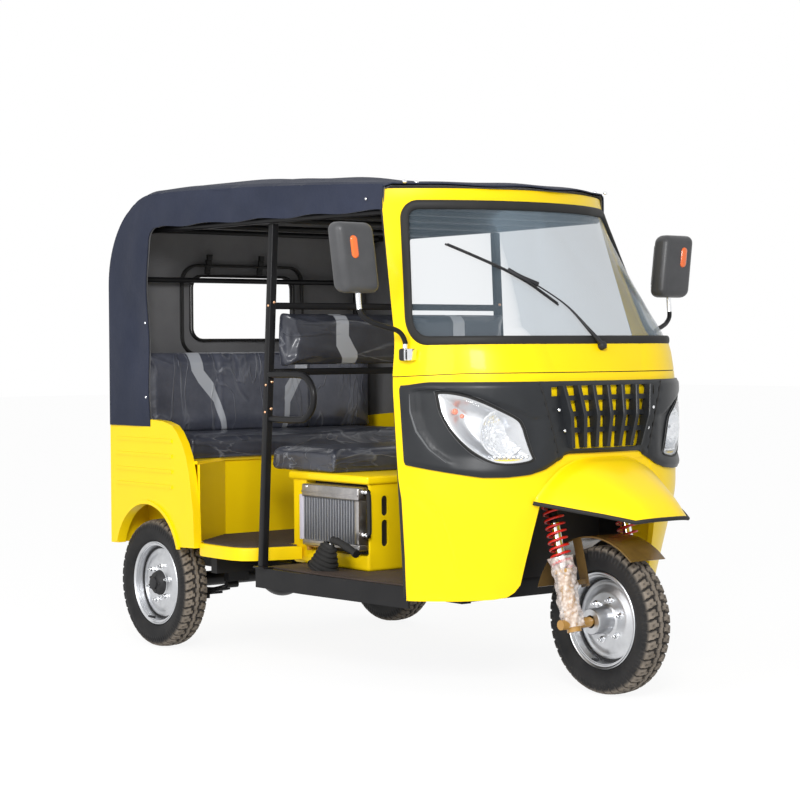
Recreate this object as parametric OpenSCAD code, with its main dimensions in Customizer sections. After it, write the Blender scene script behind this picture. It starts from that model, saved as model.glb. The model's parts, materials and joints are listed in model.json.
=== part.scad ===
// Three-wheeled passenger auto rickshaw with a fabric roof.
// Stations run forward from the rear axle along X, Y is to the left and Z is up from the ground.

/* [Wheels and stance] */
// Distance between the front and rear axles
wheelbase = 1952; // [1900:1:2050]
// Distance between the middles of the rear tyres
track = 1150; // [1120:5:1170]
// Outer diameter of every tyre
tyre_od = 508; // [480:2:516]
// Width of every tyre
tyre_w = 112; // [96:2:120]
// Diameter over the rim flanges
rim_d = 332; // [316:2:344]
// Body and roof behind the rear axle
rear_overhang = 300; // [290:5:360]

/* [Front fork] */
// Lean of the steering axis from the vertical
rake = 15; // [13:1:18]
// Distance from the steering axis forward to the fork legs
fork_offset = 36; // [28:1:44]
// Distance from the middle of the vehicle to each fork leg
leg_y = 166; // [160:1:180]
// Steering angle to each side
steer_range = 35; // [20:1:40]

/* [Cab] */
// Half width of the cab at the door edge
cab_half_w = 600; // [570:5:620]
// Thickness of the cab walls
cab_wall = 20; // [14:1:24]
// Height of the seam between the cowl and the front fairing
cowl_z = 1094; // [1085:1:1105]
// Height of the lower edge of the windscreen
screen_low_z = 1205; // [1190:1:1230]
// Height of the upper edge of the windscreen
screen_top_z = 1678; // [1640:1:1690]
// Thickness of the windscreen glass
glass_t = 6; // [4:0.5:8]

/* [Floor and seats] */
// Height of the driver's floor
driver_floor_z = 372; // [360:1:385]
// Height of the passenger floor
passenger_floor_z = 440; // [430:1:455]
// Half width of the floors
floor_half_w = 600; // [580:5:620]
// Height of the underside of the driver's cushion
driver_seat_z = 722; // [710:1:735]
// Height of the underside of the bench cushion
bench_z = 752; // [740:1:765]
// Thickness of the seat cushions
cushion_t = 88; // [70:1:95]

/* [Roof] */
// Height of the lower edge of the roof fabric beside the doors
valance_z = 1664; // [1650:1:1680]
// Height of the roof seam at the rear door
roof_edge_z = 1803; // [1790:1:1815]
// Rise of the roof from its sides to its middle
roof_crown = 60; // [40:1:70]
// Half width of the roof and of the rear body
body_half_w = 650; // [648:1:665]
// Thickness of the roof fabric with its lining
fabric_t = 6; // [4:1:8]
// Outer diameter of the roof tubes
bow_d = 26; // [22:1:30]

/* [Hidden] */
$fn = 48;

yellow = [0.98, 0.78, 0.02];
black = [0.07, 0.07, 0.08];
charcoal = [0.13, 0.14, 0.17];
silver = [0.72, 0.73, 0.75];
// Air between pieces that seat on each other
seat_gap = 0.3;
// Air between two curved skins of flat facets
skin_gap = 1.9;
// Air between a shaft and its bore
shaft_gap = 0.05;

tyre_r = tyre_od / 2;
rim_r = rim_d / 2;
// Reach of the beak ahead of the front axle
beak_reach = 284;
overall_len = rear_overhang + wheelbase + beak_reach;
// The origin lies under the middle of the overall length
rear_axle_x = rear_overhang - overall_len / 2;
wheel_y = track / 2;

// Height of the shoulder under the cowl, where the cab wall starts to lean back
shoulder_z = cowl_z - 19;

// Cab plan by height: columns are height, front, half width, turn of the corner and door edge
cab_sections = [
    [325, wheelbase - 72, cab_half_w - 48, 69, wheelbase - 393],
    [670, wheelbase - 19, cab_half_w, 78, wheelbase - 364],
    [shoulder_z, wheelbase - 19, cab_half_w, 84, wheelbase - 400],
    [screen_low_z, wheelbase - 59, cab_half_w - 22, 89, wheelbase - 416],
    [screen_top_z, wheelbase - 330, cab_half_w - 88, 45, wheelbase - 554],
    [screen_top_z + 60, wheelbase - 350, cab_half_w - 94, 43, wheelbase - 572]];

front_crown = 14;
cab_low_z = cab_sections[0][0];
cab_top_z = cab_sections[5][0];
mask_t = 12;

function mix(a, b, t) = a + (b - a) * t;
function smooth(t) = let (c = min(1, max(0, t))) c * c * (3 - 2 * c);
function cab(z, column) = lookup(z, [for (row = cab_sections) [row[0], row[column]]]);
function cab_radius(z) = (cab(z, 1) - front_crown - cab(z, 4)) / (1 - cos(cab(z, 3)));
function cab_flat(z) = cab(z, 2) - cab_radius(z) * sin(cab(z, 3));

// A point of the cab wall: p runs from 0 in the middle to 1 over the flat front and to 2 at the door edge
function cab_point(z, p, out = 0) =
    let (f = cab(z, 1), r = cab_radius(z), y = cab_flat(z))
    let (a = abs(p), side = p < 0 ? -1 : 1, turn = cab(z, 3) * (a - 1))
    a <= 1 ? [f + out - front_crown * a * a, side * a * y, z]
    : [f - front_crown - r + (r + out) * cos(turn), side * (y + (r + out) * sin(turn)), z];

corner_steps = 8;
front_steps = 8;
cab_columns = [for (k = [0 : corner_steps]) -2 + k / corner_steps,
    for (k = [1 : front_steps - 1]) -1 + 2 * k / front_steps,
    for (k = [0 : corner_steps]) 1 + k / corner_steps];

// A thick panel between two grids of points; cells where keep is false are left open
module panel(outer, inner, keep = function (i, j) true) {
    rows = len(outer);
    cols = len(outer[0]);
    shift = rows * cols;
    function has(i, j) = i >= 0 && j >= 0 && i < rows - 1 && j < cols - 1 && keep(i, j);
    function quad(a, b, c, d) = [[a, b, c], [a, c, d]];
    faces = [for (i = [0 : rows - 2]) for (j = [0 : cols - 2]) if (has(i, j))
        let (a = i * cols + j, b = a + cols, c = b + 1, d = a + 1)
        each concat(quad(a, b, c, d), quad(d + shift, c + shift, b + shift, a + shift),
            has(i - 1, j) ? [] : quad(a, d, d + shift, a + shift),
            has(i + 1, j) ? [] : quad(c, b, b + shift, c + shift),
            has(i, j - 1) ? [] : quad(b, a, a + shift, b + shift),
            has(i, j + 1) ? [] : quad(d, c, c + shift, d + shift))];
    polyhedron(points = concat([for (row = outer) each row], [for (row = inner) each row]), faces = faces);
}

// A closed body over rings of points that turn clockwise, seen from the first ring
module loft(rings) {
    n = len(rings);
    sides = len(rings[0]);
    faces = concat([[for (q = [sides - 1 : -1 : 0]) q]],
        [for (k = [0 : n - 2]) for (q = [0 : sides - 1])
            let (a = k * sides + q, b = k * sides + (q + 1) % sides)
            each [[a, b + sides, a + sides], [a, b, b + sides]]],
        [[for (q = [0 : sides - 1]) (n - 1) * sides + q]]);
    polyhedron(points = [for (ring = rings) each ring], faces = faces);
}

// A round bar swept along a list of points, none of its parts running along ref
module bar(path, d, sides = 10, ref = [0, 0, 1]) {
    n = len(path);
    function unit(v) = v / norm(v);
    function along(k) = unit(path[min(k + 1, n - 1)] - path[max(k - 1, 0)]);
    function ring(k) = let (t = along(k), s = unit(cross(t, ref)), u = cross(s, t))
        [for (q = [0 : sides - 1]) path[k] + d / 2 * (cos(360 * q / sides) * s + sin(360 * q / sides) * u)];
    loft([for (k = [0 : n - 1]) ring(k)]);
}

// Points of a rectangle with round corners, from its top turning towards positive y
function round_ring(w, h, r, steps = 5) = [for (c = [0 : 3]) for (k = [0 : steps - 1])
    let (a = 90 * c + 90 * k / (steps - 1), sy = c < 2 ? 1 : -1, sz = c == 0 || c == 3 ? 1 : -1)
    [sy * (w / 2 - r) + r * sin(a), sz * (h / 2 - r) + r * cos(a)]];

// A rectangle with round corners, centred
module round_rect(size, r) {
    square([size[0] - 2 * r, size[1]], center = true);
    square([size[0], size[1] - 2 * r], center = true);
    for (x = [-1, 1], y = [-1, 1]) translate([x * (size[0] / 2 - r), y * (size[1] / 2 - r)]) circle(r);
}

module both_sides() {
    children();
    mirror([0, 1, 0]) children();
}

// Turns children from drawn in X and Z to standing across the vehicle, from y0 towards y1
module across(y0, y1) {
    translate([0, y1, 0]) rotate([90, 0, 0]) linear_extrude(y1 - y0) children();
}

// Frame and floors

rail_y = 330;
rail_w = 40;
rail_top = 358;
rail_h = 58;
head_from = 520;
head_to = 712;
stem_r = 25;

// Places children in the fork's own frame: the origin is on the axle and Z runs up the legs
module in_fork() {
    translate([wheelbase, 0, tyre_r]) rotate([0, -rake, 0]) children();
}

module box(x0, x1, y0, y1, z0, z1) {
    translate([x0, y0, z0]) cube([x1 - x0, y1 - y0, z1 - z0]);
}

post_x = wheelbase - 427;
engine_x = [645, 1000];
seat_box_x = [620, 1120];

module chassis_frame() {
    low = rail_top - rail_h;
    inside = rail_y - rail_w / 2 - seat_gap;
    outside = rail_y + rail_w / 2 + seat_gap;
    carrier = passenger_floor_low - 0.4;
    front_member = post_x - 5;
    // Members between the rails: columns are station, underside and top
    members = [[250, low + 20, rail_top], [340, low + 20, carrier], [1060, low, rail_top],
        [mix(1060, front_member, 0.5), low, rail_top], [front_member, low, rail_top]];
    // Arms outside the rails: columns are station, underside, top and end
    arms = [[340, low + 20, carrier, body_half_w - 80], [720, low, rail_top, floor_half_w - 16],
        [1060, low, rail_top, floor_half_w - 34],
        [mix(1060, front_member, 0.5), low, rail_top, floor_half_w - 56]];
    color(black) {
        both_sides() box(-262, wheelbase - 362, rail_y - rail_w / 2, rail_y + rail_w / 2, low, rail_top);
        for (m = members) box(m[0], m[0] + 40, -inside, inside, m[1], m[2]);
        for (m = arms) both_sides() box(m[0], m[0] + 40, outside, m[3], m[1], m[2]);
        box(540, 580, -rail_y, rail_y, rail_top + seat_gap, carrier);
        both_sides() for (x = [-272, 238]) box(x, x + 34, outside, 445, 269.5, 340);
        box(post_x, post_x + 50, -25, 25, rail_top + seat_gap, 890);
        // Rear member with the tow lug
        difference() {
            union() {
                box(-262, -222, -inside, inside, low, rail_top);
                box(-299, -250, -26, 26, 320, 336);
            }
            translate([-279, 0, 300]) cylinder(r = 10, h = 60);
        }
        // Head tube on its arm
        difference() {
            union() {
                box(post_x + 50 + seat_gap, post_x + 215, -20, 20, 840, 890);
                in_fork() translate([-fork_offset, 0, head_from])
                    cylinder(r = stem_r + 10, h = head_to - head_from);
            }
            in_fork() translate([-fork_offset, 0, head_from - 1])
                cylinder(r = stem_r + shaft_gap, h = head_to - head_from + 2);
        }
    }
}

well_half = 284;
well_back = wheelbase - 352;

module driver_floor() {
    t = 12;
    skirt_z = 298;
    back = seat_box_x[0] + 70;
    z = driver_floor_z;
    door = [cab(cab_low_z, 4) - 8, cab(z, 2) - 1];
    edge = [[back, floor_half_w], [back + 300, floor_half_w - 4], door];
    color(black) difference() {
        union() {
            translate([0, 0, z - t]) linear_extrude(t) {
                polygon(concat([for (p = edge) [p[0], -p[1]]],
                    [[door[0], -door[1] + 30], [well_back, -door[1] + 60]],
                    [[well_back, door[1] - 60], [door[0], door[1] - 30]], [for (k = [2 : -1 : 0]) edge[k]]));
                for (side = [-1, 1]) intersection() {
                    translate([well_back - 100, side > 0 ? well_half + 12 : -560])
                        square([400, 548 - well_half]);
                    translate([cab(z, 1) - front_crown - cab_radius(z), side * cab_flat(z)])
                        circle(cab_radius(z) - cab_wall - 14);
                }
            }
            translate([0, 0, skirt_z]) linear_extrude(z - skirt_z - 1) both_sides()
                polygon(concat(edge, [for (k = [2 : -1 : 0]) [edge[k][0], edge[k][1] - 10]]));
        }
        box(engine_x[0] - 10, engine_x[1] + 12, -230, 230, z - 40, z + 10);
        box(post_x - 7, post_x + 57, -32, 32, z - 40, z + 10);
    }
}

passenger_floor_low = 400;

module passenger_floor() {
    half = body_half_w;
    step = floor_half_w;
    outline = [[126, -374], [136, -388], [306, 46 - half], [344.6, 44 - half], [347, 18 - half],
        [380, 6 - half], [600, 5 - half], [668, 18 - half], [708, 20 - step], [850, 108 - step],
        [900, 160 - step], [905, -402], [614, -402]];
    t = passenger_floor_z - passenger_floor_low;
    color(yellow) translate([0, 0, passenger_floor_low]) linear_extrude(t)
        polygon(concat(outline, [for (k = [len(outline) - 1 : -1 : 0]) [outline[k][0], -outline[k][1]]]));
}

// Front body

well_z = 800;

// Edge of the wheel opening on the cab wall: columns are height and share
well_edge = [[385, 1.324], [465, 1.277], [562, 1.216], [635, 1.168], [well_z, 1.065]];
// Lower edge of the fairing: columns are share of the corner and rise over the lowest point
fairing_edge = [[1, 60], [1.125, 20], [1.25, 11], [1.5, 6], [1.75, 2], [2, 0]];

function fairing_low(q) = cab_low_z + lookup(abs(q), fairing_edge);
function fairing_point(z, q, out) = let (w = lookup(z, well_edge), a = abs(q), side = q < 0 ? -1 : 1)
    cab_point(z, side * (a <= 1 ? a * w : mix(w, 2, a - 1)), out);

module front_fairing() {
    heights = [cab_low_z, 400, 480, 560, 640, 720, well_z, 870, 940, 1010, 1050, shoulder_z, cowl_z];
    rows = function (out) [for (z = heights) [for (q = cab_columns)
        fairing_point(z == cab_low_z ? fairing_low(q) : z, q, out)]];
    lamp = function (i, q) heights[i] >= 720 && heights[i] < 1050 && q > 1.125 && q < 1.75;
    open = function (i, j) let (q = abs(cab_columns[j] + cab_columns[j + 1]) / 2)
        !(heights[i] < well_z && q < 1) && !lamp(i, q);
    cheek_z = [driver_floor_z + 0.4, 470, 560, 640, 720, well_z - 5.4];
    cheek = function (step, y) [for (z = cheek_z)
        [[well_back + 120, -y, z], cab_point(z, -lookup(z, well_edge) - step, -cab_wall / 2)]];
    color(yellow) {
        panel(rows(0), rows(-cab_wall), open);
        // Cheeks of the wheel well behind the edges of the fairing
        both_sides() panel(cheek(0.03, well_half + 10), cheek(0.002, well_half));
    }
}

module wheel_well() {
    low = driver_floor_z + 0.4;
    top = well_z - 5;
    color(black) difference() {
        union() {
            both_sides() box(well_back, well_back + 119.6, well_half, well_half + 8, low, top + 1);
            box(well_back, well_back + 8, -well_half, well_half, low, top + 1);
            box(well_back, wheelbase - 72, -well_half - 8, well_half + 8, top, top + 9);
        }
        in_fork() translate([-fork_offset, 0, head_from - 200]) cylinder(r = stem_r + 24, h = 600);
    }
}

// Outline of a headlamp on the cab wall: columns are height, share at the outer edge and share at the nose
lamp_rows = [[799, 1.39, 1.29], [811, 1.462, 1.2], [838, 1.54, 1.213], [864, 1.592, 1.228],
    [891, 1.634, 1.243], [918, 1.668, 1.257], [945, 1.694, 1.287],
    [975, 1.715, 1.38], [1002, 1.722, 1.475], [1023, 1.727, 1.57], [1033, 1.725, 1.66]];

// A right lamp body between two heights over the cab wall, drawn in by an edge
module lamp_body(from, to, edge = 0) {
    steps = 8;
    low = lamp_rows[0][0];
    top = lamp_rows[len(lamp_rows) - 1][0];
    share = edge / (cab_radius(900) * 1.42);
    height = function (row) mix(row[0], (low + top) / 2, edge / 117);
    rows = function (out) [for (row = lamp_rows) [for (k = [0 : steps])
        cab_point(height(row), -mix(row[1] - share, row[2] + share, k / steps), out)]];
    panel(rows(to), rows(from));
}

grille_low = 846;
grille_top = 1056;
// Half widths of the grille opening at its lower and upper edge
grille_half = [206, 262];

function mask_low(p) = let (a = abs(p))
    a < 0.86 ? 826 : a < 1.16 ? mix(826, 772, smooth((a - 0.86) / 0.3))
    : a < 1.5 ? mix(772, 752, smooth((a - 1.16) / 0.34)) : mix(752, 794, (a - 1.5) / 0.5);

module headlamp_mask() {
    rows = [0, 0.25, 0.5, 0.75, 1];
    skin = function (out) [for (t = rows) [for (p = cab_columns)
        cab_point(mix(mask_low(p), shoulder_z - 4 - 12 * smooth((abs(p) - 1.75) / 0.25), t), 0.985 * p, out)]];
    color(black) difference() {
        panel(skin(mask_t), skin(skin_gap));
        both_sides() lamp_body(-30, 60);
        translate([wheelbase - 100, 0, 0]) rotate([90, 0, 90]) linear_extrude(200)
            polygon([[-grille_half[0], grille_low - 6], [grille_half[0], grille_low - 6],
                [grille_half[1], grille_top + 4], [-grille_half[1], grille_top + 4]]);
    }
}

module grille() {
    fins = 3;
    // Depth of a fin at its ends and at its bend, and its width
    fin_deep = [18, 32];
    fin_w = 14;
    front = cab(grille_low, 1) + 0.5;
    middle = (grille_low + grille_top) / 2;
    tall = grille_top - grille_low;
    profile = [[0, -tall / 2], [fin_deep[0], -tall / 2], [fin_deep[1], 4], [fin_deep[0], tall / 2], [0, tall / 2]];
    color(black) translate([front, 0, middle]) {
        for (k = [-fins : fins]) translate([0, 61 * k, 0]) rotate([-atan(14 * k / tall), 0, 0])
            across(-fin_w / 2, fin_w / 2) polygon(profile);
        for (z = [-46, 9, 63]) let (half = mix(grille_half[0], grille_half[1], 0.5 + z / tall) - 1)
            box(1, 11, -half, half, z - 4, z + 4);
    }
}

module headlamp_bowls() {
    color(silver) both_sides() difference() {
        lamp_body(-52, 4, 0.8);
        lamp_body(-48, 10, 6);
    }
}

module headlamp_lenses() {
    color([0.85, 0.9, 0.95]) both_sides() lamp_body(5.4, 12.4, 0.8);
}

// Beak from tip to base: columns are share, half width, edge height, edge, top, top height
beak_sections = [
    [0, 122, 612, wheelbase + 254, wheelbase + beak_reach, 619],
    [0.3, 178, 630, wheelbase + 170, wheelbase + 208, 688],
    [0.6, 232, 646, wheelbase + 80, wheelbase + 114, 750],
    [0.85, 278, 660, wheelbase + 6, wheelbase + 32, 796],
    [1, 302, 668, wheelbase - 30, wheelbase - 16, 814]];

function beak_point(row, s, drop) =
    let (g = 1 - pow(abs(s), 3), back = row[0] == 1 ? 0 : 5)
    let (y = s * (row[1] - drop), z = mix(row[2], row[5], g) - drop)
    [row[0] == 1 ? beak_base(y) : mix(row[3], row[4], g) - (drop > 0 ? back : 0), y, z];
function beak_base(y) = let (z = 760, r = cab_radius(z), flat = cab_flat(z), f = cab(z, 1))
    seat_gap + 0.4 + (abs(y) < flat ? f - front_crown * pow(y / flat, 2)
        : f - front_crown - r + sqrt(r * r - pow(abs(y) - flat, 2)));

module front_beak() {
    steps = 16;
    outer = [for (row = beak_sections) [for (k = [0 : steps]) beak_point(row, -1 + 2 * k / steps, 0)]];
    inner = [for (row = beak_sections) [for (k = [0 : steps]) beak_point(row, -1 + 2 * k / steps, 7)]];
    color(yellow) panel(outer, inner);
}

// Screen

screen_rows = [for (t = [0, 0.25, 0.5, 0.75, 1]) mix(screen_low_z, screen_top_z, t)];

module screen_frame() {
    heights = concat([cowl_z + 0.4, mix(cowl_z, screen_low_z, 0.5)], screen_rows, [cab_top_z]);
    outer = [for (z = heights) [for (p = cab_columns) cab_point(z, p)]];
    inner = [for (z = heights) [for (p = cab_columns) cab_point(z, p, -cab_wall)]];
    pillar = 2 - 1 / corner_steps;
    open = function (i, j) i < 2 || i == 6 || abs(cab_columns[j] + cab_columns[j + 1]) / 2 > pillar;
    color(yellow) panel(outer, inner, open);
}

module windscreen() {
    edge = 2 - 1 / corner_steps - 0.003;
    columns = [for (p = cab_columns) if (abs(p) < edge + 0.01) min(edge, max(-edge, p))];
    heights = [screen_low_z + 0.5, screen_rows[1], screen_rows[2], screen_rows[3], screen_top_z - 0.5];
    color([0.8, 0.9, 0.95]) panel([for (z = heights) [for (p = columns) cab_point(z, p, -6)]],
        [for (z = heights) [for (p = columns) cab_point(z, p, -6 - glass_t)]]);
}

module wiper() {
    // Paths over the glass: columns are height over its lower edge, share and air over the cab surface
    arm = [[-18, 0.08, 16], [38, -0.12, 15], [124, -0.47, 13], [200, -1.069, 12], [245, -1.254, 8]];
    blade = [[124, -0.6, 4], [163, -0.94, 4], [200, -1.1, 4], [245, -1.27, 4], [297, -1.49, 4],
        [335, -1.652, 4]];
    color(black) {
        bar([for (k = arm) cab_point(screen_low_z + k[0], k[1], k[2])], 9, 8);
        bar([for (k = blade) cab_point(screen_low_z + k[0], k[1], k[2])], 9, 8);
        translate(cab_point(screen_low_z - 18, 0.08, 4.6)) rotate([0, 90, 0]) cylinder(r = 14, h = 14);
    }
}

// Mirrors

mirror_x = wheelbase - 434;
mirror_y = 755;
mirror_z = 1488;

module mirror_arms() {
    base_z = cowl_z + 54;
    face = cab(base_z, 2) - 0.4;
    base_x = cab(base_z, 4) + 26;
    // Path from the base: columns are forward, outward and up
    path = [[0, 14, 2], [0, 20, 52], [-6, 48, 97], [-25, 110, 130], [-42, 148, 160], [-52, 166, 219.6]];
    // Foot that lies on the cab wall
    foot = function (out) [for (z = [-20, 0, 20]) [for (p = [-1.985, -1.955, -1.925])
        cab_point(base_z + z, p, out)]];
    color(black) both_sides() {
        bar([for (k = path) [base_x + k[0], -face - k[1], base_z + k[2]]], 13, 10, [1, 0, 0]);
        panel(foot(15), foot(0));
    }
}

module mirror_heads() {
    w = 160;
    h = 236;
    // Sections from the glass side forward: columns are place and share of the full size
    sections = [[-40, 0.94], [-34, 1], [2, 1], [20, 0.95], [32, 0.84], [39, 0.66]];
    color(charcoal) both_sides() translate([mirror_x, -mirror_y, mirror_z])
        loft([for (c = sections) let (ring = round_ring(w * c[1], h * (0.25 + 0.75 * c[1]), 44 * c[1]))
            [for (q = ring) [c[0], q[0], q[1]]]]);
}

// Roof

roof_turn_r = 360;
roof_back = -(rear_overhang - 14);
roof_low_z = 880;
roof_front = wheelbase - 567;
taper_from = 80;
window_z = [1228, 1488];
window_half = 255;
roof_side = body_half_w - 0.2;
roof_end = cab_half_w - 81;
roof_shares = [1, 0.94, 0.84, 0.7, 0.55, window_half / roof_side, 0.2];
roof_columns = concat(roof_shares, [0], [for (k = [len(roof_shares) - 1 : -1 : 0]) -roof_shares[k]]);
// Rise of the roof's middle over its sides: columns are share of the length and share of the crown
roof_rises = [[0.15, 1], [0.5, 0.84], [0.67, 0.56], [0.8, 0.36], [0.9, 0.13], [0.96, 0.05], [1, -0.15]];

function roof_half(x) = mix(roof_side, roof_end, max(0, (x - taper_from) / (roof_front - taper_from)));
function roof_edge(x) = roof_edge_z - 46 * pow(max(0, (x - 200) / (roof_front - 185)), 1.6);

roof_turn_z = roof_edge_z - roof_turn_r;
// Slope at the upper edge of the rear window, where the turn starts
roof_first = 180 - asin((window_z[1] - roof_turn_z) / roof_turn_r);

// Rows: columns are station, height at the sides, slope of the outward direction and bulge in the middle
roof_rows = concat(
    [for (z = [roof_low_z, 1050, window_z[0]]) [roof_back, z, 180, 14 * smooth((z - 800) / 300)]],
    [for (k = [0 : 6]) let (a = k == 0 ? roof_first : 180 - 15 * k)
        [roof_back + roof_turn_r * (1 + cos(a)), roof_turn_z + roof_turn_r * sin(a), a,
            mix(14, roof_crown, k / 6)]],
    [for (t = [0.2, 0.4, 0.6, 0.75, 0.86, 0.94, 1]) let (x = t * roof_front)
        [x, roof_edge(x), 90, roof_crown * lookup(t, roof_rises)]]);

function roof_point(row, s, out) =
    let (x = row[0], rise = row[3] * (1 - pow(abs(s), 2.2)) + out)
    let (late = smooth((x / roof_front - 0.75) / 0.25))
    [x + 222 * (1 - s * s) * late + rise * cos(row[2]), s * roof_half(x), row[1] + rise * sin(row[2])];

module roof_fabric() {
    window = window_half / roof_side;
    open = function (i, j) !(i == 2 && abs(roof_columns[j] + roof_columns[j + 1]) / 2 < window);
    color(charcoal) panel([for (row = roof_rows) [for (s = roof_columns) roof_point(row, s, 0)]],
        [for (row = roof_rows) [for (s = roof_columns) roof_point(row, s, -fabric_t)]], open);
}

module side_curtains() {
    front = 30;
    fillet = 50;
    turn_z = roof_turn_z;
    sheet = function (out) [for (t = [0, 0.25, 0.5, 0.7, 0.85, 1])
        let (x = mix(front + fillet + seat_gap, roof_front, t), y = -roof_half(x) - out)
        [[x, y, roof_edge(x)], [x, y, valance_z]]];
    color(charcoal) both_sides() {
        across(body_half_w + 0.3, body_half_w + fabric_t) difference() {
            union() {
                translate([roof_back, roof_low_z]) square([front - roof_back, turn_z - roof_low_z]);
                intersection() {
                    translate([roof_back + roof_turn_r, turn_z]) circle(roof_turn_r, $fn = 96);
                    translate([roof_back, turn_z]) square([front + fillet - roof_back, roof_turn_r]);
                }
            }
            translate([front + fillet, valance_z - fillet]) circle(fillet);
            translate([front, turn_z - 10]) square([fillet + 10, valance_z - fillet - turn_z + 10]);
        }
        panel(sheet(fabric_t), sheet(0.5));
    }
}

rail_z = valance_z - 2;
partition_x = 740;
rail_side = body_half_w - 78;
rail_end = cab_point(rail_z, -2, -cab_wall);
// Side tubes in plan: columns are station and distance from the middle
rail_plan = [[-60, rail_side], [partition_x, rail_side - 16], [rail_end[0] - 0.6, -rail_end[1] - bow_d / 2]];

module roof_tubes() {
    // Rear posts in side view: columns are station and height
    post = [[-240, bench_z + 0.5], [-240, rail_z - 170], [-228, rail_z - 104], [-190, rail_z - 48],
        [-130, rail_z - 12]];
    path = concat([for (p = post) [p[0], -rail_side, p[1]]], [for (p = rail_plan) [p[0], -p[1], rail_z]]);
    // Bows: columns are station and height
    bows = [[-240, rail_z - 190], [-60, rail_z], [300, rail_z], [partition_x, rail_z], [1080, rail_z],
        [rail_plan[2][0] - 30, rail_z]];
    color(black) {
        both_sides() bar(path, bow_d, 12, [0, 1, 0]);
        for (p = bows) let (reach = lookup(p[0] + bow_d / 2, rail_plan) - bow_d / 2 - 0.7)
            translate([p[0], reach, p[1]]) rotate([90, 0, 0]) cylinder(d = bow_d - 4, h = 2 * reach);
    }
}

// Partition

pole_base = driver_floor_z + seat_gap;
pole_h = rail_z - bow_d / 2 - 1.6 - pole_base;
pole_lean = floor_half_w - rail_plan[1][1] - 6;

function pole_y(z) = floor_half_w - pole_lean * (z - pole_base) / pole_h;

module partition_frame() {
    tube = 40;
    color(black) {
        both_sides() translate([partition_x, -floor_half_w, pole_base]) rotate([-atan(pole_lean / pole_h), 0, 0])
            translate([-tube / 2, -tube / 2, 1]) cube([tube, tube, pole_h]);
        for (z = [1140, 1385]) box(partition_x - 15, partition_x + 15, -pole_y(z), pole_y(z), z - 15, z + 15);
    }
}

module grab_handles() {
    // Loop in side view: columns are station and height
    start = partition_x + 20.6;
    path = [[start, 1090], [start + 250, 1090], [start + 278, 1082], [start + 290, 1060], [start + 290, 955],
        [start + 278, 933], [start + 250, 925], [start, 925]];
    color(black) both_sides() bar([for (p = path) [p[0], -pole_y(1008), p[1]]], 25, 10, [0, 1, 0]);
}

module driver_backrest() {
    color(charcoal) translate([755.4, 0, 1226]) rotate([90, 0, 90]) linear_extrude(64)
        round_rect([1000, 244], 40);
}

module driver_seat() {
    color(charcoal) translate([705, 0, driver_seat_z]) linear_extrude(cushion_t) round_rect([400, 800], 45);
}

module seat_box() {
    wall = 12;
    top = driver_seat_z - seat_gap;
    color(yellow) difference() {
        box(seat_box_x[0], seat_box_x[1], -400, 400, driver_floor_z + seat_gap, top);
        box(seat_box_x[0] + wall, seat_box_x[1] - wall, wall - 400, 400 - wall,
            driver_floor_z - 10, top - wall);
        box(744, 1086, -410, -380, 452, 694);
        both_sides() for (z = [500, 590]) translate([seat_box_x[1] - 25, -310, z]) rotate([90, 0, 90])
            linear_extrude(40) round_rect([18, 70], 8);
    }
}

module radiator() {
    fins = 38;
    x0 = 744.4;
    x1 = 1085.6;
    color([0.62, 0.64, 0.66]) {
        box(x0, x1, -372, -330, 452.4, 693.6);
        box(x0, x1, -396, -371, 452.4, 470);
        box(x0, x1, -396, -371, 676, 693.6);
        for (k = [0 : fins - 1]) let (x = mix(x0, x1 - 3, k / (fins - 1)))
            box(x, x + 3, -392, -371, 469, 677);
    }
}

module engine() {
    color([0.35, 0.36, 0.38]) box(engine_x[0], engine_x[1], -200, 200, 262, 640);
}

// Rear body

module bench_seat() {
    color(charcoal) translate([-20, 0, bench_z + seat_gap]) linear_extrude(cushion_t + 8)
        round_rect([420, 2 * body_half_w - 160], 40);
}

module bench_backrest() {
    middle = bench_z + cushion_t + 8.8 + 170;
    color(charcoal) translate([-205, 0, middle]) rotate([90, 0, 90]) linear_extrude(85)
        round_rect([2 * body_half_w - 124, 340], 50);
}

// Front of the bench base in plan
bench_plan = [[140, -372], [150, -384], [322, 42 - body_half_w], [336, 34.4 - body_half_w]];

module bench_base() {
    wall = 12;
    top = bench_z;
    under = top - wall - seat_gap;
    low = passenger_floor_z + seat_gap;
    rim = body_half_w - 34.4;
    inside = wheel_y - tyre_w / 2 - 31;
    // Front walls as plan strips
    module strip(points) {
        translate([0, 0, low]) linear_extrude(under - low)
            polygon(concat(points, [for (k = [len(points) - 1 : -1 : 0]) [points[k][0] - 16, points[k][1]]]));
    }
    color(yellow) {
        box(124, 140, -371.7, 371.7, low, under);
        both_sides() strip(bench_plan);
        translate([0, 0, top - wall]) linear_extrude(wall)
            polygon([[-262, -rim], [318, -rim], [150, -390], [150, 390], [318, rim], [-262, rim]]);
        both_sides() box(-262, 120, inside - 10, inside, passenger_floor_low, under);
    }
}

arch_r = 238;
arch_z = 334;

module quarter_panels() {
    outline = [[-264.6, 400], [344, 420], [338, 560], [312, 700], [290, 770], [262, 820], [226, 862],
        [190, 888], [130, 902], [40, 908], [-264.6, 884]];
    color(yellow) both_sides() {
        across(body_half_w - 34, body_half_w) difference() {
            polygon(outline);
            translate([0, arch_z]) circle(arch_r);
        }
        across(body_half_w - 2, body_half_w + 8) difference() {
            translate([0, arch_z]) circle(arch_r + 14);
            translate([0, arch_z]) circle(arch_r);
            translate([-400, -100]) square([800, 508]);
        }
        for (z = [640, 700, 760, 820]) box(-230, 190, body_half_w - 1, body_half_w + 5, z, z + 14);
    }
}

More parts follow.
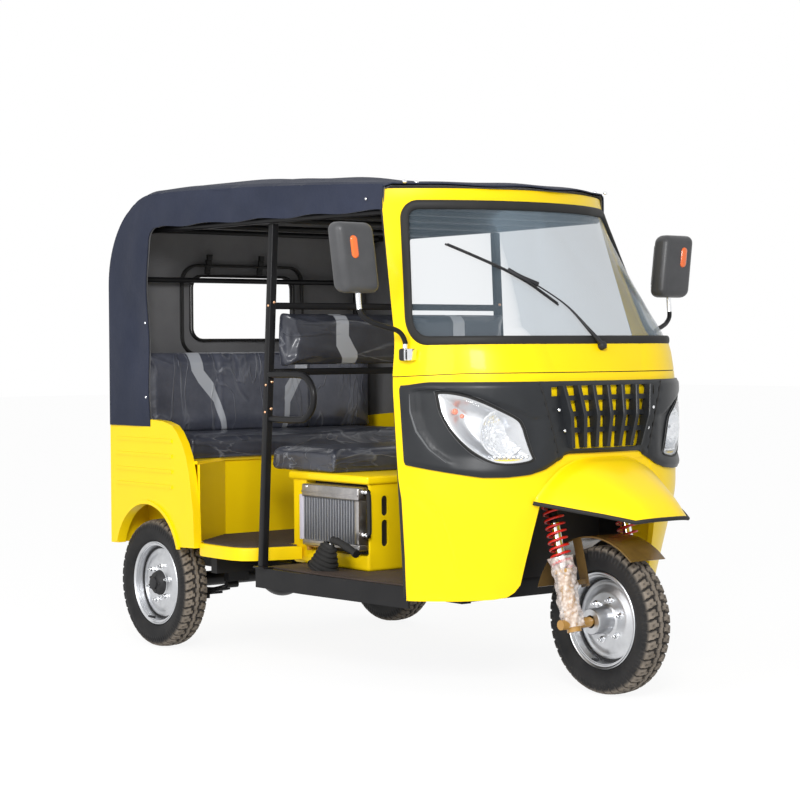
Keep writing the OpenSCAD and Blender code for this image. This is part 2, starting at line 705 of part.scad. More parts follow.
module rear_panel() {
    color(yellow) {
        box(-285, -265, -body_half_w, body_half_w, 400, roof_low_z - 0.4);
        for (z = [480, 620, 760]) box(-289, -284, -420, 420, z, z + 60);
    }
}

module tail_lamps() {
    color([0.7, 0.05, 0.03]) both_sides() translate([-285.3, -545, 640]) rotate([90, 0, -90])
        linear_extrude(13) round_rect([110, 170], 24);
}

// Rear axle

drum_r = 100;
spindle_r = 18;
axle_r = 30;

module rear_axle() {
    // Places of the parts out along the axle
    plate_at = 470;
    tilt = 6;
    shaft_len = (engine_x[0] - 0.5 - 22 * sin(tilt)) / cos(tilt);
    color(black) translate([0, 0, tyre_r]) {
        rotate([90, 0, 0]) cylinder(r = axle_r, h = 2 * plate_at - 2 * seat_gap, center = true);
        sphere(100, $fn = 64);
        both_sides() rotate([90, 0, 0]) {
            translate([0, 0, plate_at]) cylinder(r = drum_r, h = 9);
            translate([0, 0, plate_at]) cylinder(r = spindle_r, h = wheel_y + 40 - plate_at);
            translate([0, 0, wheel_y + 36]) cylinder(r = 26, h = 14, $fn = 6);
        }
        rotate([0, 90 - tilt, 0]) translate([0, 0, 100.4]) cylinder(r = 22, h = shaft_len - 100.4);
    }
}

module leaf_springs() {
    r = 900;
    leaf_t = 9;
    top = tyre_r - axle_r - seat_gap;
    // Leaves: columns are half length and place in the stack
    leaves = [[255, 0], [205, 1], [150, 2]];
    color(black) both_sides() {
        for (leaf = leaves) let (rise = top + r - leaf_t * (leaf[1] + 1))
            across(-445, -395) translate([0, rise]) intersection() {
            difference() {
                circle(r, $fn = 180);
                circle(r - leaf_t, $fn = 180);
            }
            translate([-leaf[0], -r - 20]) square([2 * leaf[0], 120]);
        }
        box(-45, 45, -452, -388, top - 3 * leaf_t - 18, top - 3 * leaf_t - seat_gap);
        for (x = [-255, 255]) translate([x, -395, top + r - leaf_t / 2 - sqrt(r * r - 255 * 255)])
            rotate([90, 0, 0]) cylinder(r = 13, h = 50);
    }
}

module exhaust() {
    color([0.4, 0.38, 0.36]) translate([0, 230, 271.6]) rotate([0, 90, 0]) {
        translate([0, 0, 340]) cylinder(r = 48, h = 240);
        translate([0, 0, 150]) cylinder(r = 16, h = 200);
        translate([0, 0, 570]) cylinder(r = 18, h = 74.6);
    }
}

// Steering

crown_at = 442;
crown_t = 36;
leg_top = 186;

module fork_crown() {
    color(black) in_fork() {
        box(-fork_offset - 36, 34, -leg_y - 34, leg_y + 34, crown_at, crown_at + crown_t);
        translate([-fork_offset, 0, crown_at + 10]) cylinder(r = stem_r, h = 830 - crown_at - 10);
        both_sides() translate([0, -leg_y, leg_top + seat_gap]) cylinder(r = 16, h = crown_at + 10 - leg_top);
    }
}

module fork_legs() {
    color([0.75, 0.55, 0.2]) in_fork() {
        both_sides() {
            translate([0, -leg_y, -28]) cylinder(r = 25, h = leg_top + 28);
            translate([0, -leg_y, leg_top - 14]) cylinder(r = 33, h = 14);
            translate([0, -92, 0]) rotate([90, 0, 0]) cylinder(r = 18, h = leg_y - 92);
            translate([0, -leg_y, 0]) rotate([90, 0, 0]) cylinder(r = 17, h = 58);
        }
        rotate([90, 0, 0]) cylinder(r = 12, h = 2 * leg_y, center = true);
    }
}

module fork_springs() {
    turns = 7;
    steps = 16;
    from = leg_top + 5.1;
    to = crown_at - 5.1;
    color([0.8, 0.08, 0.05]) in_fork() both_sides()
        bar([for (k = [0 : turns * steps]) [27 * cos(360 * k / steps), -leg_y + 27 * sin(360 * k / steps),
            mix(from, to, k / (turns * steps))]], 11, 6);
}

module front_mudguard() {
    guard_r = tyre_r + 30;
    half = 80;
    color([0.2, 0.15, 0.13]) in_fork() {
        difference() {
            rotate([90, 0, 0]) cylinder(r = guard_r + 5, h = 2 * half, center = true, $fn = 96);
            rotate([90, 0, 0]) cylinder(r = guard_r, h = 2 * half + 2, center = true, $fn = 96);
            translate([-400, -200, -400]) cube([800, 400, 560]);
        }
        both_sides() {
            translate([-20, -half, 120]) cube([40, 4, guard_r - 118]);
            translate([-12, -leg_y + 25.4, 128]) cube([24, leg_y - half - 25.4 + 2, 16]);
        }
    }
}

module handlebar() {
    bend = [[-70, 320, 872], [-30, 200, 876], [-4, 120, 872], [0, 40, 866]];
    color(black) in_fork() translate([-fork_offset, 0, 0]) {
        translate([0, 0, 831]) cylinder(r = 38, h = 34);
        bar([for (k = bend) [k[0], -k[1], k[2]], for (k = [len(bend) - 1 : -1 : 0]) bend[k]], 30, 10);
    }
}

// Wheels

// Section of a tyre: columns are share of the half width and radius
tyre_section = [[0.64, rim_r - 12], [0.64, rim_r + 1], [0.8, rim_r + 9], [0.94, rim_r + 26],
    [1, tyre_r - 46], [0.98, tyre_r - 30],
    [0.9, tyre_r - 15], [0.74, tyre_r - 6], [0.4, tyre_r - 1], [0.15, tyre_r]];

module tyre() {
    points = [for (p = tyre_section) [p[1], p[0] * tyre_w / 2]];
    color([0.06, 0.06, 0.06]) rotate([-90, 0, 0]) rotate_extrude($fn = 96)
        polygon(concat([for (k = [len(points) - 1 : -1 : 0]) [points[k][0], -points[k][1]]], points));
}

// A steel rim with its hub: columns of the outline are radius and place across, outboard positive
module rim(disc_at, hub_in, hub_out, drum_in, bore) {
    lip = tyre_section[0][0] * tyre_w / 2;
    seat = rim_r - 12 - seat_gap;
    bolts = 6;
    drum_in_r = drum_r - 8;
    color(silver) rotate([90, 0, 0]) {
        rotate_extrude($fn = 96) {
            polygon([[seat - 5, -lip - 5], [rim_r, -lip - 5], [rim_r, -lip - seat_gap],
                [seat, -lip - seat_gap], [seat, lip + seat_gap], [rim_r, lip + seat_gap],
                [rim_r, lip + 5], [seat - 5, lip + 5]]);
            polygon([[bore, hub_in], [46, hub_in], [46, disc_at - 8], [90, disc_at - 8], [118, disc_at - 16],
                [seat - 4, disc_at - 22], [seat - 4, disc_at - 14], [120, disc_at - 8], [92, disc_at],
                [46, disc_at], [40, hub_out], [bore, hub_out]]);
            polygon([[44, disc_at - 7], [44, disc_at - 16], [drum_in_r, disc_at - 16], [drum_in_r, drum_in],
                [drum_r, drum_in], [drum_r, disc_at - 7]]);
        }
        for (k = [0 : bolts - 1]) rotate(360 * k / bolts) translate([70, 0, disc_at - 2])
            cylinder(r = 10, h = 13, $fn = 6);
    }
}

module front_tyre() { translate([wheelbase, 0, tyre_r]) tyre(); }
module front_rim() { translate([wheelbase, 0, tyre_r]) rim(6, -87, 87, -60, 12 + shaft_gap); }
module rear_tyre_right() { translate([0, -wheel_y, tyre_r]) tyre(); }
module rear_rim_right() { translate([0, -wheel_y, tyre_r]) rim(14, -90, 30, -90, spindle_r + shaft_gap); }
module rear_tyre_left() { mirror([0, 1, 0]) rear_tyre_right(); }
module rear_rim_left() { mirror([0, 1, 0]) rear_rim_right(); }

module placed() { translate([rear_axle_x, 0, 0]) children(); }

placed() chassis_frame();
placed() driver_floor();
placed() passenger_floor();
placed() front_fairing();
placed() wheel_well();
placed() headlamp_mask();
placed() grille();
placed() headlamp_bowls();
placed() headlamp_lenses();
placed() front_beak();
placed() screen_frame();
placed() windscreen();
placed() wiper();
placed() mirror_arms();
placed() mirror_heads();
placed() roof_fabric();
placed() side_curtains();
placed() roof_tubes();
placed() partition_frame();
placed() grab_handles();
placed() driver_backrest();
placed() driver_seat();
placed() seat_box();
placed() radiator();
placed() engine();
placed() bench_seat();
placed() bench_backrest();
placed() bench_base();
placed() quarter_panels();
placed() rear_panel();
placed() tail_lamps();
placed() rear_axle();
placed() leaf_springs();
placed() exhaust();
placed() fork_crown();
placed() fork_legs();
placed() fork_springs();
placed() front_mudguard();
placed() handlebar();
placed() front_tyre();
placed() front_rim();
placed() rear_tyre_right();
placed() rear_rim_right();
placed() rear_tyre_left();
placed() rear_rim_left();
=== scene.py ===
import bpy, bmesh, json, math
from mathutils import Matrix, Vector, noise


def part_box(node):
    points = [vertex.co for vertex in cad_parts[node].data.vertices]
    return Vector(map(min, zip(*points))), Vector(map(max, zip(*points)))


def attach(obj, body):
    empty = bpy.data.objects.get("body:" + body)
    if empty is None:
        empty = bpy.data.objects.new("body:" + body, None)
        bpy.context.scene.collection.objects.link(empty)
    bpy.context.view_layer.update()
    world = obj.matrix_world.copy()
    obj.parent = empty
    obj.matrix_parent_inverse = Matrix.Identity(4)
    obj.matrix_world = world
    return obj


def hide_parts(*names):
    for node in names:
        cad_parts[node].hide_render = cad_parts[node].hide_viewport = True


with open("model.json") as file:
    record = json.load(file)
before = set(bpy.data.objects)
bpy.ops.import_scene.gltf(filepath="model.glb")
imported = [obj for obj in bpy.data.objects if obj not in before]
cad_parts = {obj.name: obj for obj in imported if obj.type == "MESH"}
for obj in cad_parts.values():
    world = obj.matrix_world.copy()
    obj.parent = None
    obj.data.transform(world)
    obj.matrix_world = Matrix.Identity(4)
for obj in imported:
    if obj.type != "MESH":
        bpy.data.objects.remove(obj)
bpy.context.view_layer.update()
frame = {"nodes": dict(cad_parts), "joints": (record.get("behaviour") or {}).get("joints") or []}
nodes = frame["nodes"]
scene = bpy.context.scene
joints = {joint["name"]: joint for joint in frame["joints"]}
rearAxle = joints["rear_wheel_right_spin"]["pos_m"][0]  # stations run forward from the rear axle
wheelbase = joints["front_wheel_spin"]["pos_m"][0] - rearAxle
tyreRadius = joints["front_wheel_spin"]["pos_m"][2]


def mix(a, b, t):
    return a + (b - a) * t


def clamp(t):
    return min(1.0, max(0.0, t))


def smooth(t):
    t = clamp(t)
    return t * t * (3 - 2 * t)


def lookup(x, table):
    if x <= table[0][0]:
        return table[0][1]
    for (a, p), (b, q) in zip(table, table[1:]):
        if x <= b:
            return mix(p, q, (x - a) / (b - a))
    return table[-1][1]


def steps(low, high, count):
    return [mix(low, high, k / (count - 1)) for k in range(count)]


def place(x, y, z):
    return Vector((x + rearAxle, y, z))


def linkObject(name, data):
    obj = bpy.data.objects.new(name, data)
    scene.collection.objects.link(obj)
    return obj


# mesh helpers

def meshObject(name, points, faces, closed=True):
    mesh = bpy.data.meshes.new(name)
    mesh.from_pydata([tuple(p) for p in points], [], faces)
    bm = bmesh.new()
    bm.from_mesh(mesh)
    bmesh.ops.delete(bm, geom=[v for v in bm.verts if not v.link_faces], context="VERTS")
    bmesh.ops.remove_doubles(bm, verts=bm.verts, dist=1e-6)
    if closed:
        bmesh.ops.recalc_face_normals(bm, faces=bm.faces)
    bm.to_mesh(mesh)
    bm.free()
    return linkObject(name, mesh)


def dress(obj, material, replaced=(), angle=40, body="chassis"):
    obj.data.materials.clear()
    obj.data.materials.append(material)
    obj.data.shade_smooth()
    obj.data.set_sharp_from_angle(angle=math.radians(angle))
    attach(obj, body)
    if replaced:
        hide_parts(*replaced)
    return obj


def shell(outer, inner, keep=None):
    rows, cols = len(outer), len(outer[0])
    has = lambda i, j: 0 <= i < rows - 1 and 0 <= j < cols - 1 and (keep is None or keep(i, j))
    points = [p for row in outer for p in row] + [p for row in inner for p in row]
    under = rows * cols
    faces = []
    for i in range(rows - 1):
        for j in range(cols - 1):
            if not has(i, j):
                continue
            a, d = i * cols + j, i * cols + j + 1
            b, c = a + cols, d + cols
            faces += [(a, d, c, b), (a + under, b + under, c + under, d + under)]
            ends = ((has(i - 1, j), d, a), (has(i + 1, j), b, c))
            sides = ((has(i, j - 1), a, b), (has(i, j + 1), c, d))
            for near, p, q in ends + sides:
                if not near:
                    faces.append((p, q, q + under, p + under))
    return points, faces


def gridFaces(rows, cols, wrapRows=False, wrapCols=False):
    faces = []
    for i in range(rows if wrapRows else rows - 1):
        for j in range(cols if wrapCols else cols - 1):
            i2, j2 = (i + 1) % rows, (j + 1) % cols
            faces.append((i * cols + j, i * cols + j2, i2 * cols + j2, i2 * cols + j))
    return faces


def cappedFaces(rows, cols):  # rings joined to a tube, with a face at each end
    ends = [tuple(range(cols))[::-1], tuple((rows - 1) * cols + q for q in range(cols))]
    return gridFaces(rows, cols, False, True) + ends


def prism(outline, near, far):  # closed body between two stations over an outline of (y, z)
    points = [place(x, y, z) for x in (near, far) for y, z in outline]
    return points, cappedFaces(2, len(outline))


def roundBox(halves, low, high, radius, count):  # outline in (y, z), half widths at the bottom and top
    outline = []
    for side, upper, start in ((1, 0, -90), (1, 1, 0), (-1, 1, 90), (-1, 0, 180)):
        y = side * (halves[upper] - radius)
        z = high - radius if upper else low + radius
        turns = [math.radians(start + d) for d in steps(0, 90, count)]
        outline += [(y + radius * math.cos(a), z + radius * math.sin(a)) for a in turns]
    return outline


def spline(points, count, closed=False):
    points = [Vector(p) for p in points]
    n = len(points)
    spans = n if closed else n - 1
    pick = (lambda k: points[k % n]) if closed else (lambda k: points[min(max(k, 0), n - 1)])
    out = []
    for s in range(count if closed else count + 1):
        u = s / count * spans
        k = min(int(u), spans - 1)
        t = u - k
        a, b, c, d = pick(k - 1), pick(k), pick(k + 1), pick(k + 2)
        out.append(0.5
                   * (2 * b + (c - a) * t + (2 * a - 5 * b + 4 * c - d) * t * t + (3 * b - 3 * c + d - a)
                      * t ** 3))
    return out


def tubePoints(path, radius, sides=12, closed=False):
    path = [Vector(p) for p in path]
    n = len(path)
    after = lambda k: path[(k + 1) % n] if closed else path[min(k + 1, n - 1)]
    before = lambda k: path[k - 1] if closed else path[max(k - 1, 0)]
    ahead = lambda k: after(k) - before(k)
    side = ahead(0).normalized().orthogonal().normalized()
    points = []
    for k in range(n):
        along = ahead(k).normalized()
        side = (side - along * side.dot(along)).normalized()
        other = along.cross(side)
        r = radius(k / (n - 1)) if callable(radius) else radius
        points += [path[k] + r * (math.cos(a) * side + math.sin(a) * other)
                   for a in (2 * math.pi * q / sides for q in range(sides))]
    return points, gridFaces(n, sides, True, True) if closed else cappedFaces(n, sides)


def joined(parts):
    points, faces = [], []
    for some, their in parts:
        faces += [tuple(k + len(points) for k in face) for face in their]
        points += some
    return points, faces


def merged(name, parts, closed=True):
    return meshObject(name, *joined(parts), closed)


def lathe(profile, centre, axis, count=64, start=None):
    axis = Vector(axis).normalized()
    side = Vector(start) if start else axis.orthogonal().normalized()
    other = axis.cross(side)
    points = []
    for k in range(count):
        a = 2 * math.pi * k / count
        out = math.cos(a) * side + math.sin(a) * other
        points += [Vector(centre) + r * out + h * axis for r, h in profile]
    return points, gridFaces(count, len(profile), True, False)


def bolt(centre, axis, radius, height, sides=6):
    profile = [(0.0, 0.0), (radius, 0.0), (radius, height * 0.75), (radius * 0.8, height), (0.0, height)]
    return lathe(profile, centre, axis, sides)


def ball(centre, radius, rows, count):
    return lathe([(radius * math.sin(a), -radius * math.cos(a)) for a in steps(0, math.pi, rows)], centre,
                 (1, 0, 0), count)


def applied(obj):
    graph = bpy.context.evaluated_depsgraph_get()
    mesh = bpy.data.meshes.new_from_object(obj.evaluated_get(graph))
    obj.modifiers.clear()
    obj.data = mesh


def cutWith(obj, cutter):
    step = obj.modifiers.new("cut", "BOOLEAN")
    step.object, step.operation, step.solver = cutter, "DIFFERENCE", "EXACT"
    applied(obj)
    bpy.data.objects.remove(cutter)


def block(bm, low, high, rounding=0.0, segments=2):  # box between two corners
    made = bmesh.ops.create_cube(bm, size=1.0)["verts"]
    bmesh.ops.scale(bm, vec=Vector(high) - Vector(low), verts=made)
    bmesh.ops.translate(bm, vec=(Vector(low) + Vector(high)) / 2, verts=made)
    if rounding:
        edges = list(dict.fromkeys(edge for vert in made for edge in vert.link_edges))
        bmesh.ops.bevel(bm, geom=edges, offset=rounding, offset_type="OFFSET", affect="EDGES",
                        segments=segments, profile=0.5, material=-1)


def rod(bm, start, end, radius, sides=16):  # round bar between two points
    start, end = Vector(start), Vector(end)
    along = end - start
    turn = Matrix.Translation((start + end) / 2) @ along.to_track_quat("Z", "Y").to_matrix().to_4x4()
    bmesh.ops.create_cone(bm, cap_ends=True, segments=sides, radius1=radius, radius2=radius,
                          depth=along.length, matrix=turn)


def stud(bm, centre, axis, radius, height):  # domed head of a rivet or bolt
    turn = Vector(axis).to_track_quat("Z", "Y").to_matrix().to_4x4()
    turn = Matrix.Translation(centre) @ turn @ Matrix.Diagonal((1, 1, height / radius, 1))
    bmesh.ops.create_uvsphere(bm, u_segments=14, v_segments=8, radius=radius, matrix=turn)


def slab(bm, outline, low, high, rounding=0.0):  # upright prism over an outline
    face = bm.faces.new([bm.verts.new(place(x, y, low)) for x, y in outline])
    made = bmesh.ops.extrude_face_region(bm, geom=[face])["geom"]
    bmesh.ops.translate(bm, vec=(0, 0, high - low),
                        verts=[part for part in made if isinstance(part, bmesh.types.BMVert)])
    bmesh.ops.recalc_face_normals(bm, faces=bm.faces)
    if rounding:
        rim = [edge for edge in bm.edges if all(abs(vert.co.z - high) < 1e-5 for vert in edge.verts)]
        bmesh.ops.bevel(bm, geom=rim, offset=rounding, offset_type="OFFSET", affect="EDGES", segments=3,
                        profile=0.5, material=-1)


def pieceFrom(bm, name):
    mesh = bpy.data.meshes.new(name)
    bm.to_mesh(mesh)
    bm.free()
    return linkObject(name, mesh)


# material helpers

def newMaterial(name, colour, roughness, **values):
    mat = bpy.data.materials.new(name)
    mat.use_nodes = True
    shader = mat.node_tree.nodes["Principled BSDF"]
    shader.inputs["Base Color"].default_value = (*colour, 1)
    shader.inputs["Roughness"].default_value = roughness
    for key, value in values.items():
        shader.inputs[key.replace("_", " ")].default_value = value
    return mat, mat.node_tree, shader


def addNode(tree, kind, **values):
    node = tree.nodes.new("ShaderNode" + kind)
    for key, value in values.items():
        name = key.replace("_", " ")
        if name in node.inputs:
            node.inputs[name].default_value = value
        else:
            setattr(node, key, value)
    return node


def wire(tree, source, out, target, into):
    tree.links.new(source.outputs[out], target.inputs[into])


def objectSpace(tree):
    return addNode(tree, "TexCoord").outputs["Object"]


def makeGroup(name, inputs, outputs):
    group = bpy.data.node_groups.new(name, "ShaderNodeTree")
    for label, kind, value in inputs:
        socket = group.interface.new_socket(label, in_out="INPUT", socket_type="NodeSocket" + kind)
        if value is not None:
            socket.default_value = value
    for label, kind in outputs:
        group.interface.new_socket(label, in_out="OUTPUT", socket_type="NodeSocket" + kind)
    return group, group.nodes.new("NodeGroupInput"), group.nodes.new("NodeGroupOutput")


def patchGroup():  # two colours that change over into each other in soft patches
    inputs = [("Vector", "Vector", None), ("Scale", "Float", 5.0), ("First", "Color", (0, 0, 0, 1)),
              ("Second", "Color", (1, 1, 1, 1))]
    group, start, end = makeGroup("softPatches", inputs, [("Color", "Color"), ("Mask", "Float")])
    cloud = addNode(group, "TexNoise", Detail=6.0, Roughness=0.6)
    ramp = addNode(group, "MapRange", From_Min=0.35, From_Max=0.68)
    blend = addNode(group, "MixRGB")
    wire(group, start, "Vector", cloud, "Vector")
    wire(group, start, "Scale", cloud, "Scale")
    wire(group, cloud, "Fac", ramp, "Value")
    wire(group, ramp, "Result", blend, "Fac")
    wire(group, start, "First", blend, "Color1")
    wire(group, start, "Second", blend, "Color2")
    wire(group, blend, "Color", end, "Color")
    wire(group, ramp, "Result", end, "Mask")
    return group


def weaveGroup():  # threads that cross, read along all three axes so that any wall shows two sets
    group, start, end = makeGroup("weave", [("Vector", "Vector", None), ("Threads", "Float", 900.0)],
                                  [("Height", "Float")])
    parts = addNode(group, "SeparateXYZ")
    wire(group, start, "Vector", parts, "Vector")
    total = None
    for axis in "XYZ":
        scale = addNode(group, "Math", operation="MULTIPLY")
        wave = addNode(group, "Math", operation="SINE")
        wire(group, parts, axis, scale, 0)
        wire(group, start, "Threads", scale, 1)
        wire(group, scale, 0, wave, 0)
        if total is None:
            total = wave
            continue
        both = addNode(group, "Math", operation="ADD")
        wire(group, total, 0, both, 0)
        wire(group, wave, 0, both, 1)
        total = both
    wire(group, total, 0, end, "Height")
    return group


def dustGroup():  # road dust that thickens towards the ground
    inputs = [("Vector", "Vector", None), ("Colour", "Color", (0, 0, 0, 1)),
              ("Dust", "Color", (0.3, 0.27, 0.23, 1)),
              ("Top", "Float", 0.6), ("Amount", "Float", 0.4)]
    group, start, end = makeGroup("roadDust", inputs, [("Color", "Color")])
    parts = addNode(group, "SeparateXYZ")
    fall = addNode(group, "MapRange", From_Max=0.0, To_Min=0.0, To_Max=1.0)
    cloud = addNode(group, "TexNoise", Scale=9.0, Detail=8.0)
    patch = addNode(group, "MapRange", From_Min=0.3, From_Max=0.75)
    share = addNode(group, "Math", operation="MULTIPLY")
    amount = addNode(group, "Math", operation="MULTIPLY")
    blend = addNode(group, "MixRGB")
    wire(group, start, "Vector", parts, "Vector")
    wire(group, start, "Vector", cloud, "Vector")
    wire(group, parts, "Z", fall, "Value")
    wire(group, start, "Top", fall, "From Min")
    wire(group, cloud, "Fac", patch, "Value")
    wire(group, fall, "Result", share, 0)
    wire(group, patch, "Result", share, 1)
    wire(group, share, 0, amount, 0)
    wire(group, start, "Amount", amount, 1)
    wire(group, amount, 0, blend, "Fac")
    wire(group, start, "Colour", blend, "Color1")
    wire(group, start, "Dust", blend, "Color2")
    wire(group, blend, "Color", end, "Color")
    return group


softPatches, weave, roadDust = patchGroup(), weaveGroup(), dustGroup()


def addGroup(tree, group, **values):
    node = tree.nodes.new("ShaderNodeGroup")
    node.node_tree = group
    for key, value in values.items():
        node.inputs[key].default_value = value
    if "Vector" in node.inputs:
        tree.links.new(objectSpace(tree), node.inputs["Vector"])
    return node


def patches(tree, shader, first, second, scale):
    node = addGroup(tree, softPatches, Scale=scale, First=(*first, 1), Second=(*second, 1))
    wire(tree, node, "Color", shader, "Base Color")
    return node


def dusty(tree, shader, source, top=0.6, amount=0.4):
    node = addGroup(tree, roadDust, Top=top, Amount=amount)
    tree.links.new(source, node.inputs["Colour"])
    wire(tree, node, "Color", shader, "Base Color")


def bumpFrom(tree, shader, height, strength, distance):
    bump = addNode(tree, "Bump", Strength=strength, Distance=distance)
    tree.links.new(height, bump.inputs["Height"])
    wire(tree, bump, "Normal", shader, "Normal")


def grain(tree, shader, scale, strength, distance):
    cloud = addNode(tree, "TexNoise", Scale=scale, Detail=3.0)
    tree.links.new(objectSpace(tree), cloud.inputs["Vector"])
    bumpFrom(tree, shader, cloud.outputs["Fac"], strength, distance)


def roughnessFrom(tree, shader, mask, low, high):
    spread = addNode(tree, "MapRange", To_Min=low, To_Max=high)
    tree.links.new(mask, spread.inputs["Value"])
    wire(tree, spread, "Result", shader, "Roughness")


def clearAlpha(tree, shader, low, high):
    rim = addNode(tree, "Fresnel", IOR=1.45)
    spread = addNode(tree, "MapRange", From_Max=0.6, To_Min=low, To_Max=high)
    wire(tree, rim, "Fac", spread, "Value")
    wire(tree, spread, "Result", shader, "Alpha")


# materials

def paintMaterial(name, first, second, roughness, coat, top=0.5, amount=0.25, gloss=0.4):
    mat, tree, shader = newMaterial(name, first, roughness, Coat_Weight=coat, Coat_Roughness=0.06,
                                    Specular_IOR_Level=gloss)
    node = patches(tree, shader, first, second, 2.2)
    dusty(tree, shader, node.outputs["Color"], top, amount)
    grain(tree, shader, 420.0, 0.04, 0.0006)
    return mat


def plasticMaterial(name, first, second, low, high, gloss=0.3):
    mat, tree, shader = newMaterial(name, first, high, Specular_IOR_Level=gloss)
    node = patches(tree, shader, first, second, 6.0)
    roughnessFrom(tree, shader, node.outputs["Mask"], low, high)
    grain(tree, shader, 900.0, 0.18, 0.0006)
    return mat


def metalMaterial(name, first, second, low, high, scale=14.0):
    mat, tree, shader = newMaterial(name, first, high, Metallic=1.0)
    node = patches(tree, shader, first, second, scale)
    roughnessFrom(tree, shader, node.outputs["Mask"], low, high)
    grain(tree, shader, 300.0, 0.05, 0.0004)
    return mat


def clothMaterial(name, first, second, sheen, threads, fold):
    mat, tree, shader = newMaterial(name, first, 0.78, Sheen_Weight=sheen, Sheen_Roughness=0.5,
                                    Specular_IOR_Level=0.12)
    patches(tree, shader, first, second, 3.0)
    yarn = addGroup(tree, weave, Threads=threads)
    soft = addNode(tree, "TexNoise", Scale=fold, Detail=4.0)
    tree.links.new(objectSpace(tree), soft.inputs["Vector"])
    sag = addNode(tree, "Bump", Strength=0.35, Distance=0.012)
    wire(tree, soft, "Fac", sag, "Height")
    fine = addNode(tree, "Bump", Strength=0.25, Distance=0.0005)
    wire(tree, yarn, "Height", fine, "Height")
    wire(tree, sag, "Normal", fine, "Normal")
    wire(tree, fine, "Normal", shader, "Normal")
    return mat


def glassMaterial(name, colour, low, high):
    mat, tree, shader = newMaterial(name, colour, 0.03)
    clearAlpha(tree, shader, low, high)
    return mat


yellowPaint = paintMaterial("yellowPaint", (1.0, 0.71, 0.003), (0.98, 0.67, 0.003), 0.36, 0.1, 0.42, 0.06,
                            0.2)
blackPaint = paintMaterial("blackPaint", (0.007, 0.007, 0.008), (0.012, 0.012, 0.013), 0.4, 0.05, 0.6, 0.03,
                           0.16)
maskPlastic = plasticMaterial("maskPlastic", (0.014, 0.0155, 0.018), (0.019, 0.021, 0.024), 0.32, 0.44)
darkPlastic = plasticMaterial("darkPlastic", (0.014, 0.014, 0.016), (0.024, 0.024, 0.026), 0.4, 0.6)
rubber = plasticMaterial("rubber", (0.012, 0.012, 0.012), (0.024, 0.023, 0.022), 0.55, 0.75)
chrome = metalMaterial("chrome", (0.88, 0.89, 0.9), (0.8, 0.81, 0.83), 0.05, 0.12)
silverPaint = metalMaterial("silverPaint", (0.72, 0.73, 0.75), (0.62, 0.63, 0.65), 0.28, 0.42)
roofCloth = clothMaterial("roofCloth", (0.022, 0.027, 0.046), (0.033, 0.039, 0.064), 0.05, 2600.0, 7.0)
liningCloth = clothMaterial("liningCloth", (0.14, 0.14, 0.145), (0.175, 0.175, 0.18), 0.05, 2600.0, 5.0)
screenGlass = glassMaterial("screenGlass", (0.25, 0.33, 0.4), 0.07, 0.5)
lensClear = glassMaterial("lensClear", (0.9, 0.93, 0.96), 0.1, 0.7)


# cab wall, as height, front and door edge against the front axle, half width and turn of the corner
cabSections = [
    {"z": 0.325, "front": -0.072, "half": 0.552, "turn": 69, "door": -0.393},
    {"z": 0.670, "front": -0.019, "half": 0.600, "turn": 78, "door": -0.364},
    {"z": 1.075, "front": -0.019, "half": 0.600, "turn": 84, "door": -0.400},
    {"z": 1.205, "front": -0.059, "half": 0.578, "turn": 89, "door": -0.416},
    {"z": 1.678, "front": -0.330, "half": 0.512, "turn": 45, "door": -0.554},
    {"z": 1.738, "front": -0.350, "half": 0.506, "turn": 43, "door": -0.572}]
frontCrown = 0.014
doorShare = 2.04  # where the skin ends at the door
cabCache = {}


def cabSection(z):
    key = round(z, 4)
    if key not in cabCache:
        spread = (-0.04, -0.02, 0.0, 0.02, 0.04)  # eases the change from one section to the next
        table = lambda column: [(s["z"], s[column]) for s in cabSections]
        pick = lambda column: sum(lookup(z + d, table(column)) for d in spread) / len(spread)
        front, door = pick("front") + wheelbase, pick("door") + wheelbase
        half, turn = pick("half"), math.radians(pick("turn"))
        radius = (front - frontCrown - door) / (1 - math.cos(turn))
        cabCache[key] = front, radius, half - radius * math.sin(turn), turn
    return cabCache[key]


def cabPoint(z, p, out=0.0):  # p is 1 where the flat front ends and 2 at the door
    front, radius, flat, turn = cabSection(z)
    a, side = abs(p), -1 if p < 0 else 1
    if a <= 1:
        crown = frontCrown * clamp(flat / 0.15)  # dies out where the flat front narrows
        return place(front - frontCrown + crown * (1 - a * a) + out, side * a * flat, z)
    angle = turn * (a - 1)
    return place(front - frontCrown - radius + (radius + out) * math.cos(angle),
                 side * (flat + (radius + out) * math.sin(angle)), z)


def ringBody(outline, low, high, rings=8):  # closed body over the cab wall inside an outline
    n = len(outline)
    middle = (sum(q[0] for q in outline) / n, sum(q[1] for q in outline) / n)
    points = []
    for out in (high, low):
        for k in range(rings):
            t = k / rings
            points += [cabPoint(mix(z, middle[0], t), mix(p, middle[1], t), out) for z, p in outline]
        points.append(cabPoint(*middle, out))
    cap = rings * n + 1
    around = gridFaces(rings, n, False, True)
    last = (rings - 1) * n
    faces = []
    for top in (0, cap):
        faces += [tuple(top + k for k in face) for face in around]
        faces += [(top + last + j, top + last + (j + 1) % n, top + last + n) for j in range(n)]
    faces += [(j, (j + 1) % n, cap + (j + 1) % n, cap + j) for j in range(n)]
    return points, faces


def roundRect(half, low, high, radii, count=10):  # outline in (z, p), lower radii first
    outline = []
    for side, upper in ((1, False), (1, True), (-1, True), (-1, False)):
        rz, rp = radii[1 if upper else 0]
        for k in range(count):
            t = k / (count - 1)
            a = math.pi / 2 * (t if (side > 0) != upper else 1 - t)
            z = high - rz * (1 - math.cos(a)) if upper else low + rz * (1 - math.cos(a))
            outline.append((z, side * (half - rp * (1 - math.sin(a)))))
    return outline


